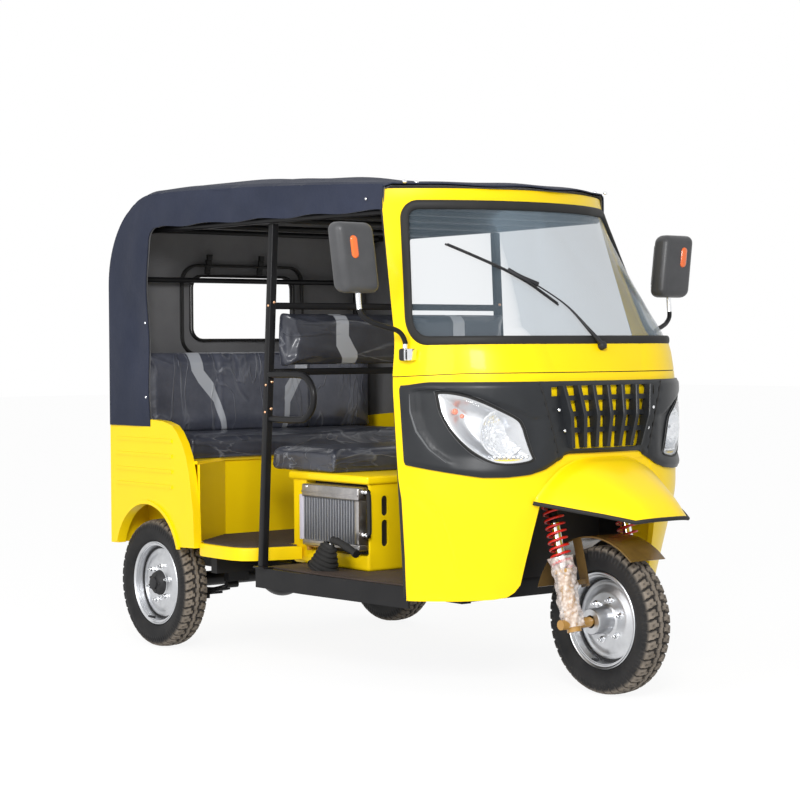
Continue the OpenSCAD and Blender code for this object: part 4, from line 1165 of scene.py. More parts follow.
def tyreMaterial():
    mat, tree, shader = newMaterial("tyreRubber", (0.014, 0.014, 0.015), 0.62, Specular_IOR_Level=0.22)
    node = addGroup(tree, softPatches, Scale=14.0, First=(0.012, 0.012, 0.013, 1),
                    Second=(0.022, 0.021, 0.021, 1))
    worn = addGroup(tree, softPatches, Scale=26.0, First=(0.15, 0.128, 0.105, 1),
                    Second=(0.24, 0.205, 0.17, 1))
    crown = addNode(tree, "Attribute", attribute_name="tread")
    blend = addNode(tree, "MixRGB")
    wire(tree, crown, "Fac", blend, "Fac")
    wire(tree, node, "Color", blend, "Color1")
    wire(tree, worn, "Color", blend, "Color2")
    wire(tree, blend, "Color", shader, "Base Color")
    grain(tree, shader, 500.0, 0.15, 0.0006)
    return mat


tyreRubber = tyreMaterial()
rimPaint = metalMaterial("rimPaint", (0.66, 0.67, 0.69), (0.54, 0.55, 0.57), 0.3, 0.42, 18.0)
seamDark = plasticMaterial("seamDark", (0.02, 0.02, 0.022), (0.035, 0.035, 0.037), 0.5, 0.7)


rimR = 0.166  # seat of the bead


def tyre(name, centre, body, replaced):
    data = {"pitches": 44, "parts": 10, "depth": 0.0075, "half": 0.056}
    bead = [(0.64, -0.012), (0.64, 0.001), (0.7, 0.004), (0.8, 0.009), (0.88, 0.017), (0.94, 0.026),
            (0.975, 0.034)]
    crown = [(1.0, 0.046), (0.995, 0.038), (0.98, 0.03), (0.955, 0.0235), (0.935, 0.0195), (0.9, 0.014),
             (0.84, 0.009),
             (0.74, 0.0055), (0.62, 0.0032), (0.5, 0.0018), (0.42, 0.0012), (0.34, 0.0007), (0.27, 0.0003),
             (0.2, 0.0001), (0.12, 0.0), (0.05, 0.0)]
    section = [(s, rimR + r) for s, r in bead] + [(s, tyreRadius - r) for s, r in crown]
    profile = [(-s, r) for s, r in section] + [(s, r) for s, r in section[::-1]]
    count = data["pitches"] * data["parts"]
    points, tread = [], []
    for k in range(count):
        angle = 2 * math.pi * k / count
        u = k / data["parts"]
        for s, r in profile:
            a = abs(s)
            cut = 0.0
            shift = 0.5 if s > 0 else 0.0
            phase = (u + shift + 0.55 * a) % 1.0
            zig = 0.045 * (1 if (u + shift) % 1.0 < 0.5 else -1)
            if r > tyreRadius - 0.02:
                if 0.15 < a + zig < 0.3:
                    cut = 1.0
                elif a > 0.22 and phase < 0.24:
                    cut = 1.0
                elif 0.5 < a < 0.66 and 0.5 < phase < 0.66:
                    cut = 0.45
            elif r > tyreRadius - 0.036:
                cut = 0.4 if (u * 2 + shift) % 1.0 < 0.42 else 0.0
            r2 = r - data["depth"] * cut
            y = s * data["half"]
            if r < tyreRadius - 0.02:
                y -= 0.004 * cut * (1 if s > 0 else -1)
            points.append((centre[0] + r2 * math.cos(angle), centre[1] + y,
                           centre[2] + r2 * math.sin(angle)))
            tread.append(smooth((r - (tyreRadius - 0.018)) / 0.01) * (1 - 0.92 * min(1, cut * 1.5)))
    mesh = bpy.data.meshes.new(name)
    mesh.from_pydata(points, [], gridFaces(count, len(profile), True, True))
    mesh.attributes.new("tread", "FLOAT", "POINT").data.foreach_set("value", tread)
    obj = linkObject(name, mesh)
    bm = bmesh.new()
    bm.from_mesh(mesh)
    bmesh.ops.recalc_face_normals(bm, faces=bm.faces)
    bm.to_mesh(mesh)
    bm.free()
    dress(obj, tyreRubber, replaced, 38, body)


def rim(name, centre, body, side, discAt, hubOut, hubIn, replaced, rear):
    lip, turns = 0.0358, 120
    around = lambda a, r, out: Vector(centre) + Vector((r * math.cos(a), side * out, r * math.sin(a)))
    profile = [(rimR - 0.004, -lip - 0.006), (rimR, -lip - 0.0045), (rimR, -lip - 0.001),
               (rimR - 0.0125, -lip - 0.0005), (rimR - 0.0125, lip + 0.0005), (rimR, lip + 0.001),
               (rimR + 0.0006, lip + 0.004), (rimR - 0.0025, lip + 0.0064), (rimR - 0.007, lip + 0.004),
               (rimR - 0.0095, lip - 0.002), (rimR - 0.012, lip - 0.004), (rimR - 0.0165, lip - 0.0045),
               (rimR - 0.018, lip - 0.012), (rimR - 0.019, discAt + 0.006), (rimR - 0.0205, discAt - 0.006),
               (rimR - 0.024, discAt - 0.0085), (rimR - 0.0275, discAt - 0.0065),
               (0.131, discAt - 0.0035), (0.124, discAt - 0.0045), (0.114, discAt - 0.0035),
               (0.1, discAt + 0.0055), (0.09, discAt + 0.0065), (0.055, discAt + 0.0045),
               (0.05, discAt + 0.006),
               (0.046, discAt + 0.010), (0.0445, hubOut - 0.004), (0.042, hubOut), (0.022, hubOut),
               (0.022, hubIn), (0.046, hubIn), (0.046, discAt - 0.03), (0.094, discAt - 0.034),
               (0.1, discAt - 0.04), (0.1, hubIn + 0.03), (0.104, hubIn + 0.028), (0.106, discAt - 0.02),
               (0.118, discAt - 0.02), (rimR - 0.024, discAt - 0.02), (rimR - 0.019, discAt - 0.026),
               (rimR - 0.018, -lip + 0.012),
               (rimR - 0.0165, -lip + 0.0045), (rimR - 0.0095, -lip + 0.002), (rimR - 0.007, -lip - 0.004)]
    axis = (0, side, 0)
    points, faces = lathe(profile, centre, axis, turns, (1, 0, 0))
    n = len(profile)
    for k in range(turns):  # closes the section on itself
        first, second = k * n, (k + 1) % turns * n
        faces.append((first + n - 1, first, second, second + n - 1))
    dress(meshObject(name, points, faces), rimPaint, replaced, 40, body)
    extra, dark = [], []
    for k in range(6):
        a = 2 * math.pi * (k + 0.25) / 6
        spot = around(a, 0.071, discAt + 0.0045)
        extra.append(bolt(spot, axis, 0.0115, 0.004, 20))
        extra.append(bolt(spot + Vector((0, side * 0.0035, 0)), axis, 0.0088, 0.013))
        extra.append(bolt(spot + Vector((0, side * 0.015, 0)), axis, 0.0045, 0.01, 12))
    dress(merged(name + "Bolts", extra), chrome, (), 30, body)
    dark.append(lathe([(rimR - 0.0295, discAt - 0.0045), (rimR - 0.0245, discAt - 0.0055),
                       (rimR - 0.0225, discAt - 0.003), (rimR - 0.0285, discAt - 0.0025)], centre, axis,
                      96))
    a = math.radians(-105)
    stem = [around(a, 0.1475 - 0.25 * h, discAt + 0.008 + h) for h in steps(0, 0.03, 6)]
    dark.append(tubePoints(stem, lambda t: 0.0055 - 0.0018 * t, 10))
    if rear:
        hub = [(0, 0.058), (0.018, 0.058), (0.024, 0.054), (0.0245, 0.046), (0.036, 0.044), (0.043, 0.038),
               (0.0465, 0.026), (0.05, discAt + 0.008), (0.05, discAt + 0.003)]
        dark.append(lathe(hub, centre, axis, 48))
        for k in range(5):
            dark.append(bolt(around(2 * math.pi * k / 5, 0.034, 0.043), axis, 0.006, 0.006))
    dress(merged(name + "Fittings", dark, False), seamDark, body=body)


frontHub = tuple(joints["front_wheel_spin"]["pos_m"])
rightHub = tuple(joints["rear_wheel_right_spin"]["pos_m"])
leftHub = tuple(joints["rear_wheel_left_spin"]["pos_m"])
tyre("frontTyre", frontHub, "front_wheel", ("front_tyre",))
tyre("rightTyre", rightHub, "rear_wheel_right", ("rear_tyre_right",))
tyre("leftTyre", leftHub, "rear_wheel_left", ("rear_tyre_left",))
rim("frontRim", frontHub, "front_wheel", -1, 0.006, 0.087, -0.087, ("front_rim",), False)
rim("rightRim", rightHub, "rear_wheel_right", -1, 0.014, 0.03, -0.09, ("rear_rim_right",), True)
rim("leftRim", leftHub, "rear_wheel_left", 1, 0.014, 0.03, -0.09, ("rear_rim_left",), True)

print("fork")
steerAxis = Vector(joints["steering"]["axis"])


def inFork(x, y, z):
    ahead = Vector((steerAxis.z, 0, -steerAxis.x))
    return Vector((frontHub[0], 0, frontHub[2])) + x * ahead + Vector((0, y, 0)) + z * steerAxis


def filmMaterial():
    mat, tree, shader = newMaterial("wrapFilm", (0.92, 0.86, 0.84), 0.16, Coat_Weight=0.6)
    cells = addNode(tree, "TexVoronoi", Scale=95.0, feature="SMOOTH_F1")
    tree.links.new(objectSpace(tree), cells.inputs["Vector"])
    bumpFrom(tree, shader, cells.outputs["Distance"], 0.9, 0.004)
    spread = addNode(tree, "MapRange", From_Min=0.1, From_Max=0.7, To_Min=0.68, To_Max=0.2)
    wire(tree, cells, "Distance", spread, "Value")
    wire(tree, spread, "Result", shader, "Alpha")
    patches(tree, shader, (0.95, 0.9, 0.88), (0.84, 0.72, 0.68), 20.0)
    return mat


wrapFilm = filmMaterial()


def fork():
    data = {"legY": 0.166, "coil": 0.0325, "wire": 0.0042, "turns": 10, "from": 0.1905, "to": 0.4375,
            "filmLow": -0.012, "filmHigh": 0.228}
    coils, films, rods = [], [], []
    for side in (-1, 1):
        path = []
        for k in range(data["turns"] * 26 + 1):
            a = 2 * math.pi * k / 26
            path.append(inFork(data["coil"] * math.cos(a), side * data["legY"] + data["coil"] * math.sin(a),
                               mix(data["from"], data["to"], k / (data["turns"] * 26))))
        coils.append(tubePoints(path, data["wire"], 10))
        rows, around = 40, 40
        points = []
        for i in range(rows):
            t = i / (rows - 1)
            z = mix(data["filmLow"], data["filmHigh"], t)
            for j in range(around):
                a = 2 * math.pi * j / around
                r = 0.036 + 0.004 * smooth((t - 0.55) / 0.3) + 0.0035 * math.sin(3 * a + 9 * t + side)
                r += 0.003 * math.sin(7 * a - 21 * t) + 0.0022 * math.sin(31 * t + 2 * a)
                points.append(inFork(r * math.cos(a), side * data["legY"] + r * math.sin(a), z))
        films.append((points, gridFaces(rows, around, False, True)))
        rods.append(tubePoints([inFork(0, side * data["legY"], z) for z in steps(0.19, 0.345, 6)], 0.0165,
                               24))
    dress(merged("forkCoils", coils), redPaint, ("fork_springs",), 50, "steering")
    dress(merged("forkRods", rods), chrome, (), 50, "steering")
    film = dress(merged("forkFilm", films, False), wrapFilm, (), 70, "steering")


fork()


print("seats")


def slashGroup(name, rows):  # leaning stripe, as height and its two edges across the seat
    low, high = rows[0]["z"], rows[-1]["z"]
    span = 1.4  # width that the ramps count in
    group, start, end = makeGroup(name, [("Vector", "Vector", None)], [("Mask", "Float")])
    parts = addNode(group, "SeparateXYZ")
    wire(group, start, "Vector", parts, "Vector")
    tall = addNode(group, "MapRange", From_Min=low, From_Max=high)
    wire(group, parts, "Z", tall, "Value")
    across = addNode(group, "MapRange", From_Min=-span / 2, From_Max=span / 2)
    wire(group, parts, "Y", across, "Value")
    sides = []
    for edge, order in (("left", (1, 0)), ("right", (0, 1))):
        ramp = addNode(group, "ValToRGB")
        marks = ramp.color_ramp.elements
        for row in rows[1:-1]:
            marks.new((row["z"] - low) / (high - low))
        for mark, row in zip(marks, rows):
            mark.position = (row["z"] - low) / (high - low)
            mark.color = (*[row[edge] / span + 0.5] * 3, 1)
        wire(group, tall, "Result", ramp, "Fac")
        far = addNode(group, "Math", operation="SUBTRACT")
        group.links.new(across.outputs["Result"], far.inputs[order[1]])
        group.links.new(ramp.outputs["Color"], far.inputs[order[0]])
        sharp = addNode(group, "MapRange", From_Min=-0.001, From_Max=0.001)
        wire(group, far, 0, sharp, "Value")
        sides.append(sharp)
    both = addNode(group, "Math", operation="MULTIPLY")
    group.links.new(sides[0].outputs["Result"], both.inputs[0])
    group.links.new(sides[1].outputs["Result"], both.inputs[1])
    wire(group, both, 0, end, "Mask")
    return group


def creaseGroup():  # long thin creases, as in a clear film drawn over a seat
    inputs = [("Vector", "Vector", None), ("Stretch", "Vector", (1, 1, 1)), ("Scale", "Float", 5.0)]
    group, start, end = makeGroup("filmCreases", inputs, [("Mask", "Float")])
    pull = addNode(group, "VectorMath", operation="MULTIPLY")
    cloud = addNode(group, "TexNoise", Detail=3.0, Roughness=0.45, Distortion=0.6)
    far = addNode(group, "Math", operation="SUBTRACT")
    far.inputs[1].default_value = 0.5
    size = addNode(group, "Math", operation="ABSOLUTE")
    line = addNode(group, "MapRange", From_Max=0.022, To_Min=1.0, To_Max=0.0)
    wire(group, start, "Vector", pull, 0)
    wire(group, start, "Stretch", pull, 1)
    wire(group, pull, "Vector", cloud, "Vector")
    wire(group, start, "Scale", cloud, "Scale")
    wire(group, cloud, "Fac", far, 0)
    wire(group, far, 0, size, 0)
    wire(group, size, 0, line, "Value")
    wire(group, line, "Result", end, "Mask")
    return group


filmCreases = creaseGroup()
benchSlashes = [
    [{"z": 0.832, "left": -0.201, "right": -0.177}, {"z": 0.966, "left": -0.254, "right": -0.225},
     {"z": 1.045, "left": -0.326, "right": -0.254},
     {"z": 1.097, "left": -0.361, "right": -0.302}, {"z": 1.198, "left": -0.378, "right": -0.315}],
    [{"z": 0.831, "left": 0.093, "right": 0.117}, {"z": 0.958, "left": 0.096, "right": 0.124},
     {"z": 1.026, "left": 0.098, "right": 0.166},
     {"z": 1.097, "left": 0.150, "right": 0.214}, {"z": 1.198, "left": 0.166, "right": 0.230}]]
driverSlash = [{"z": 1.08, "left": -0.243, "right": -0.207}, {"z": 1.171, "left": -0.300, "right": -0.216},
               {"z": 1.194, "left": -0.314, "right": -0.232},
               {"z": 1.232, "left": -0.314, "right": -0.255}, {"z": 1.36, "left": -0.313, "right": -0.255}]
driverSlashes = [driverSlash,
                 [{"z": row["z"], "left": -row["right"], "right": -row["left"]} for row in driverSlash]]


def vinylMaterial(name, slashes, stretch, scale, creaseSheen, sheenTone):
    mat, tree, shader = newMaterial(name, (0.05, 0.054, 0.068), 0.42, Coat_Weight=0.4, Coat_Roughness=0.2,
                                    Specular_IOR_Level=0.3)
    # sheenTone scales the whole colour of this copy of the vinyl; above 1 it is painted film sheen
    shade = lambda *colour: (*(sheenTone * c for c in colour), 1)
    node = addGroup(tree, softPatches, Scale=7.0, First=shade(0.03, 0.033, 0.046),
                    Second=shade(0.056, 0.06, 0.078))
    colour = node.outputs["Color"]
    for rows in slashes:
        stripe = addGroup(tree, slashGroup(name + "Slash", rows))
        blend = addNode(tree, "MixRGB", Color2=(0.4, 0.42, 0.46, 1))
        wire(tree, stripe, "Mask", blend, "Fac")
        tree.links.new(colour, blend.inputs["Color1"])
        colour = blend.outputs["Color"]
    # the crease mask bumps the film, and it also lightens the colour towards grey below: that lightening is
    # a painted sheen of the clear film
    crease = addGroup(tree, filmCreases, Stretch=stretch, Scale=scale)
    veil = addNode(tree, "TexNoise", Scale=scale * 0.7, Detail=2.0)
    tree.links.new(objectSpace(tree), veil.inputs["Vector"])
    part = addNode(tree, "MapRange", From_Min=0.42, From_Max=0.7, To_Max=creaseSheen)
    wire(tree, veil, "Fac", part, "Value")
    share = addNode(tree, "Math", operation="MULTIPLY")
    wire(tree, crease, "Mask", share, 0)
    wire(tree, part, "Result", share, 1)
    # painted sheen: light grey laid along the film's creases in patches, by creaseSheen
    film = addNode(tree, "MixRGB", Color2=(0.5, 0.52, 0.56, 1))
    wire(tree, share, 0, film, "Fac")
    tree.links.new(colour, film.inputs["Color1"])
    wire(tree, film, "Color", shader, "Base Color")
    fold = addNode(tree, "Bump", Strength=0.7, Distance=0.004)
    wire(tree, crease, "Mask", fold, "Height")
    skin = addNode(tree, "TexNoise", Scale=380.0, Detail=4.0)
    tree.links.new(objectSpace(tree), skin.inputs["Vector"])
    fine = addNode(tree, "Bump", Strength=0.15, Distance=0.0006)
    wire(tree, skin, "Fac", fine, "Height")
    wire(tree, fold, "Normal", fine, "Normal")
    wire(tree, fine, "Normal", shader, "Normal")
    roughnessFrom(tree, shader, veil.outputs["Fac"], 0.24, 0.5)
    return mat


def cushion(data):
    low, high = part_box(data["node"])
    low, high = Vector(low) + Vector(data["inLow"]), Vector(high) - Vector(data["inHigh"])
    bm = bmesh.new()
    block(bm, low, high, data["round"], 4)
    obj = pieceFrom(bm, data["name"])
    remesh = obj.modifiers.new("remesh", "REMESH")
    remesh.mode, remesh.voxel_size = "VOXEL", data["voxel"]
    applied(obj)
    axis = data["rests"]  # the side that lies on what carries it stays flat
    held = [v.index for v in obj.data.vertices if v.co[axis] < low[axis] + 0.004]
    before = [v.co.copy() for v in obj.data.vertices]
    obj.vertex_groups.new(name="held").add(held, 1.0, "REPLACE")
    cloth = obj.modifiers.new("cloth", "CLOTH")
    cloth.settings.quality = 4
    cloth.settings.use_pressure = True
    cloth.settings.uniform_pressure_force = data["pressure"]
    cloth.settings.effector_weights.gravity = 0
    cloth.settings.vertex_group_mass = "held"
    for k in range(1, 21):
        scene.frame_set(k)
    applied(obj)
    scene.frame_set(1)
    obj.vertex_groups.clear()
    for vertex, old in zip(obj.data.vertices, before):
        move = vertex.co - old
        if move.length > data["cap"]:
            vertex.co = old + move * (data["cap"] / move.length)
    obj.data.update()
    shifts = [v.normal * data["relief"](v.co, v.normal) for v in obj.data.vertices]
    for vertex, shift in zip(obj.data.vertices, shifts):
        vertex.co += shift
    dress(obj, data["material"], (data["node"],), 80)
    fine = obj.modifiers.new("fine", "SUBSURF")
    fine.levels = fine.render_levels = 1


def seatRelief(co, normal):  # slanting pulls over the edges, weaker on top
    pull = noise.noise(Vector((co.x * 16, co.y * 5 + co.z * 20, co.z * 6)))
    return 0.0028 * pull * (1 - 0.5 * clamp(normal.z))


def driverBackRelief(co, normal):  # folds that hang between the two ends
    sag = co.z + 0.05 * math.cos(co.y * 3.0)
    return 0.003 * noise.noise(Vector((co.y * 2.6, sag * 22, 3.1))) * clamp(normal.x * 2 - 0.4)


def benchBackRelief(co, normal):  # raised middle panel behind a sewn channel, with upright folds
    face = clamp(normal.x * 2 - 0.6)
    if not face:
        return 0.0
    y, z = abs(co.y), co.z
    inside = 0.243 - y
    panel = 0.009 * smooth((inside - 0.004) / 0.03) - 0.003 * (1 - smooth(abs(inside) / 0.014))
    head = abs(math.hypot(co.y, max(0.0, 1.09 - z)) - 0.15)
    seam = -0.004 * (1 - smooth(head / 0.011)) if z > 0.97 else 0.0
    fold = 0.0035 * noise.noise(Vector((co.y * 15, z * 3.5, 7.7))) * smooth((co.y + 0.25) / 0.2)
    crease = 0.0022 * noise.noise(Vector((co.y * 4, z * 14, 1.3)))
    return face * (panel + seam + fold + crease)


# the last value scales each copy's colour: 1.7 lightens the bench backrest as painted film sheen, 0.75
# darkens the driver backrest
seatVinyl = vinylMaterial("seatVinyl", [], (1.0, 0.3, 1.5), 10.0, 0.5, 1.0)
benchVinyl = vinylMaterial("benchVinyl", benchSlashes, (1.0, 1.4, 0.4), 6.0, 0.22, 1.7)
driverVinyl = vinylMaterial("driverVinyl", driverSlashes, (1.0, 0.25, 1.5), 6.0, 0.35, 0.75)
for seat in (
        {"name": "driverSeat", "node": "driver_seat", "material": seatVinyl, "rests": 2,
         "inLow": (-0.024, 0.008, 0.0), "inHigh": (0.008, 0.008, 0.01),
         "round": 0.02, "voxel": 0.008, "pressure": 4, "cap": 0.011, "relief": seatRelief, "fill": 0.8},
        {"name": "benchSeat", "node": "bench_seat", "material": seatVinyl, "rests": 2,
         "inLow": (0.008, 0.008, 0.0), "inHigh": (0.008, 0.008, 0.01),
         "round": 0.022, "voxel": 0.009, "pressure": 4, "cap": 0.011, "relief": seatRelief, "fill": 0.8},
        {"name": "driverBackrest", "node": "driver_backrest", "material": driverVinyl, "rests": 0,
         "inLow": (0.0, -0.036, 0.012), "inHigh": (0.012, -0.036, 0.026),
         "round": 0.016, "voxel": 0.007, "pressure": 4, "cap": 0.012, "relief": driverBackRelief,
         "fill": 0.75},
        {"name": "benchBackrest", "node": "bench_backrest", "material": benchVinyl, "rests": 0,
         "inLow": (0.0, 0.006, -0.014), "inHigh": (0.014, 0.006, 0.006),
         "round": 0.02, "voxel": 0.008, "pressure": 4, "cap": 0.012, "relief": benchBackRelief,
         "fill": 0.75}):
    cushion(seat)


print("cabin")
matRubber = plasticMaterial("matRubber", (0.05, 0.037, 0.031), (0.085, 0.063, 0.053), 0.6, 0.8, 0.2)
coreMetal = metalMaterial("coreMetal", (0.3, 0.31, 0.34), (0.22, 0.23, 0.25), 0.4, 0.6, 60.0)
tankMetal = metalMaterial("tankMetal", (0.5, 0.48, 0.47), (0.38, 0.37, 0.37), 0.3, 0.45, 30.0)
platePaint = paintMaterial("platePaint", (0.62, 0.6, 0.68), (0.54, 0.52, 0.6), 0.5, 0.1, 0.3, 0.05)
copper = metalMaterial("copper", (0.85, 0.5, 0.3), (0.7, 0.4, 0.24), 0.25, 0.4, 40.0)
amber = paintMaterial("amber", (0.42, 0.2, 0.03), (0.3, 0.14, 0.02), 0.45, 0.2, 0.3, 0.1)


def bothSides(outline):
    return outline + [(x, -y) for x, y in outline[::-1]]


def inset(outline, far):  # outline drawn in by a distance
    n = len(outline)
    out = []
    for k in range(n):
        a, b, c = Vector(outline[k - 1]), Vector(outline[k]), Vector(outline[(k + 1) % n])
        first, second = (b - a).normalized(), (c - b).normalized()
        across = Vector((-first.y - second.y, first.x + second.x)).normalized()
        out.append(tuple(b + across * far / max(0.5, across.dot(Vector((-first.y, first.x))))))
    return out


def floors():
    data = {"top": 0.4395, "low": 0.391, "mat": 0.005, "rim": 0.012, "ribs": 0.014}
    edge = [(0.128, -0.374), (0.138, -0.388), (0.308, -0.602), (0.346, -0.605), (0.35, -0.626),
            (0.38, -0.633), (0.5, -0.636), (0.58, -0.633), (0.625, -0.617),
            (0.652, -0.588), (0.668, -0.553), (0.684, -0.5), (0.704, -0.43), (0.712, -0.403),
            (0.616, -0.403)]
    bm = bmesh.new()
    slab(bm, bothSides(edge), data["low"], data["top"], 0.006)
    dress(pieceFrom(bm, "passengerFloor"), yellowPaint, ("passenger_floor",), 35)
    bm = bmesh.new()
    cut = inset(bothSides(edge), data["rim"])
    slab(bm, cut, data["top"] + 0.0002, data["top"] + data["mat"], 0.0015)
    for x in steps(0.15, 0.7, 40):
        bmesh.ops.bisect_plane(bm, geom=bm.verts[:] + bm.edges[:] + bm.faces[:], plane_co=place(x, 0, 0),
                               plane_no=(1, 0, 0))
    pick = [face for face in bm.faces if face.normal.z > 0.9
            and int((face.calc_center_median().x - rearAxle) / data["ribs"]) % 2]
    ribs = bmesh.ops.extrude_discrete_faces(bm, faces=pick)["faces"]
    bmesh.ops.translate(bm, vec=(0, 0, 0.0012), verts=list({vert for face in ribs for vert in face.verts}))
    dress(pieceFrom(bm, "passengerMat"), matRubber, angle=30)
    bm = bmesh.new()
    front = [(1.124, -0.572), (1.3, -0.566), (1.54, -0.548), (1.58, -0.48)]
    back = [(0.73, -0.575), (1.124, -0.572), (1.124, -0.404), (0.73, -0.404)]
    base = cabSections[0]["z"] + 0.0475
    slab(bm, bothSides(front), base, base + data["mat"], 0.0015)
    for side in (1, -1):
        slab(bm, [(x, side * y) for x, y in back][::side], base, base + data["mat"], 0.0015)
    dress(pieceFrom(bm, "driverMat"), matRubber, angle=30)


def seatBox():
    data = {"rear": 0.62, "front": 1.12, "half": 0.4, "low": 0.3732, "high": 0.7212, "lip": 0.03,
            "step": 0.012, "window": (0.722, 1.104), "windowZ": (0.43, 0.69)}
    bm = bmesh.new()
    block(bm, place(data["rear"] + data["step"], -data["half"] + data["step"], data["low"]),
          place(data["front"] - data["step"], data["half"] - data["step"], data["high"] - 0.01), 0.012, 3)
    obj = pieceFrom(bm, "seatBoxShell")
    bm = bmesh.new()
    block(bm, place(data["window"][0], -0.5, data["windowZ"][0]),
          place(data["window"][1], -0.33, data["windowZ"][1]), 0.008)
    for side in (-1, 1):
        for low, high in ((0.462, 0.56), (0.574, 0.648)):
            block(bm, place(1.06, side * 0.313 - 0.0145, low), place(1.2, side * 0.313 + 0.0145, high),
                  0.013, 3)
    cutWith(obj, pieceFrom(bm, "boxCut"))
    dress(obj, yellowPaint, ("seat_box",), 35)
    bm = bmesh.new()
    block(bm, place(data["rear"], -data["half"], data["high"] - data["lip"]),
          place(data["front"], data["half"], data["high"]), 0.009, 3)
    dress(pieceFrom(bm, "seatBoxLip"), yellowPaint, angle=35)
    bm = bmesh.new()
    block(bm, place(data["window"][0] - 0.002, -0.345, data["windowZ"][0] - 0.002),
          place(data["window"][1] + 0.002, -0.334, data["windowZ"][1] + 0.002))
    for side in (-1, 1):
        block(bm, place(1.078, side * 0.313 - 0.017, 0.46), place(1.101, side * 0.313 + 0.017, 0.65), 0.002)
    dress(pieceFrom(bm, "boxShade"), darkPlastic, angle=35)


def radiator():
    data = {"left": 0.748, "right": 1.072, "low": 0.472, "high": 0.632, "tank": 0.68, "front": -0.42,
            "back": -0.35, "tubes": 20, "rows": 30}
    left, right, face = data["left"], data["right"], data["front"]
    bm = bmesh.new()
    for k in range(data["tubes"]):
        x = mix(left, right - 0.006, k / (data["tubes"] - 1))
        block(bm, place(x, face, data["low"]), place(x + 0.0055, data["back"], data["high"]), 0.0015)
    dress(pieceFrom(bm, "radiatorTubes"), alloy, ("radiator",), 35)
    bm = bmesh.new()
    for k in range(data["rows"]):
        z = mix(data["low"], data["high"] - 0.002, k / (data["rows"] - 1))
        block(bm, place(left, face + 0.004, z), place(right, data["back"], z + 0.0022))
    block(bm, place(left, face + 0.02, data["low"]), place(right, data["back"], data["high"]))
    dress(pieceFrom(bm, "radiatorFins"), coreMetal, angle=35)
    bm = bmesh.new()
    block(bm, place(left - 0.002, face - 0.008, data["high"]),
          place(right + 0.026, data["back"], data["tank"]), 0.007, 3)
    block(bm, place(left - 0.002, face - 0.005, data["low"] - 0.022),
          place(right + 0.026, data["back"], data["low"]), 0.005, 3)
    block(bm, place(right, face - 0.005, data["low"]), place(right + 0.026, data["back"], data["high"]),
          0.004)
    block(bm, place(left - 0.002, face - 0.01, data["high"] + 0.016),
          place(right + 0.026, face - 0.006, data["high"] + 0.022), 0.0015)
    dress(pieceFrom(bm, "radiatorTank"), tankMetal, angle=35)
    bm = bmesh.new()
    block(bm, place(left - 0.034, face + 0.004, data["low"] - 0.004),
          place(left - 0.003, face + 0.016, data["high"] + 0.006), 0.004, 3)
    dress(pieceFrom(bm, "radiatorPlate"), platePaint, angle=35)
    bm = bmesh.new()
    for z in (0.664, 0.507):
        rod(bm, place(right + 0.024, face + 0.016, z), place(right + 0.06, face + 0.016, z), 0.009, 20)
        rod(bm, place(right + 0.03, face + 0.016, z), place(right + 0.036, face + 0.016, z), 0.0115, 20)
        rod(bm, place(right + 0.05, face + 0.016, z), place(right + 0.055, face + 0.016, z), 0.0115, 20)
    stud(bm, place(left + 0.03, face - 0.008, data["tank"] - 0.01), (0, -1, 0), 0.006, 0.003)
    dress(pieceFrom(bm, "radiatorPipes"), chrome, angle=35)
    path = spline([place(right + 0.05, face + 0.016, 0.664), place(right + 0.056, face + 0.016, 0.66),
                   place(right + 0.058, face + 0.018, 0.64), place(right + 0.058, face + 0.02, 0.53),
                   place(right + 0.056, face + 0.016, 0.512), place(right + 0.048, face + 0.016, 0.507)],
                  40)
    dress(meshObject("radiatorHose", *tubePoints(path, 0.0085, 14)), rubber)
    bm = bmesh.new()
    block(bm, place(0.756, -0.418, 0.4445), place(0.86, -0.392, 0.451), 0.002)
    block(bm, place(0.762, -0.416, 0.43), place(0.775, -0.394, 0.4455), 0.002)
    dress(pieceFrom(bm, "radiatorBracket"), amber, angle=35)


def handBrake():
    data = {"x": 0.965, "y": -0.485, "ribs": 6}
    foot, top = place(data["x"], data["y"], 0.377), place(data["x"] + 0.035, data["y"], 0.478)
    profile = []
    for k in range(data["ribs"]):
        t = k / data["ribs"]
        r = mix(0.075, 0.034, t)
        profile += [(r, 0.1 * t), (r, 0.1 * t + 0.008), (r - 0.012, 0.1 * t + 0.0125)]
    profile += [(0.026, 0.104), (0.012, 0.108)]
    points, faces = lathe([(0.08, 0.0), (0.08, 0.006)] + profile, foot, top - foot, 40)
    flat = [Vector((p.x, mix(foot.y, p.y, 0.62), p.z)) for p in points]
    bm = bmesh.new()
    lever = [top + Vector((0.0, 0, -0.012)), place(data["x"] + 0.07, data["y"], 0.49),
             place(data["x"] + 0.1, data["y"], 0.483)]
    rod(bm, lever[0], lever[1], 0.009)
    grip = tubePoints(spline([lever[1] - Vector((0.012, 0, 0.001)), lever[2],
                              place(data["x"] + 0.2, data["y"], 0.45)], 24),
                      lambda t: 0.0155 - 0.003 * abs(math.sin(t * 9)) * (t < 0.9), 16)
    stem = pieceFrom(bm, "brakeLever")
    dress(stem, chrome)
    dress(meshObject("brakeBoot", *joined([(flat, faces), grip])), rubber, angle=30)


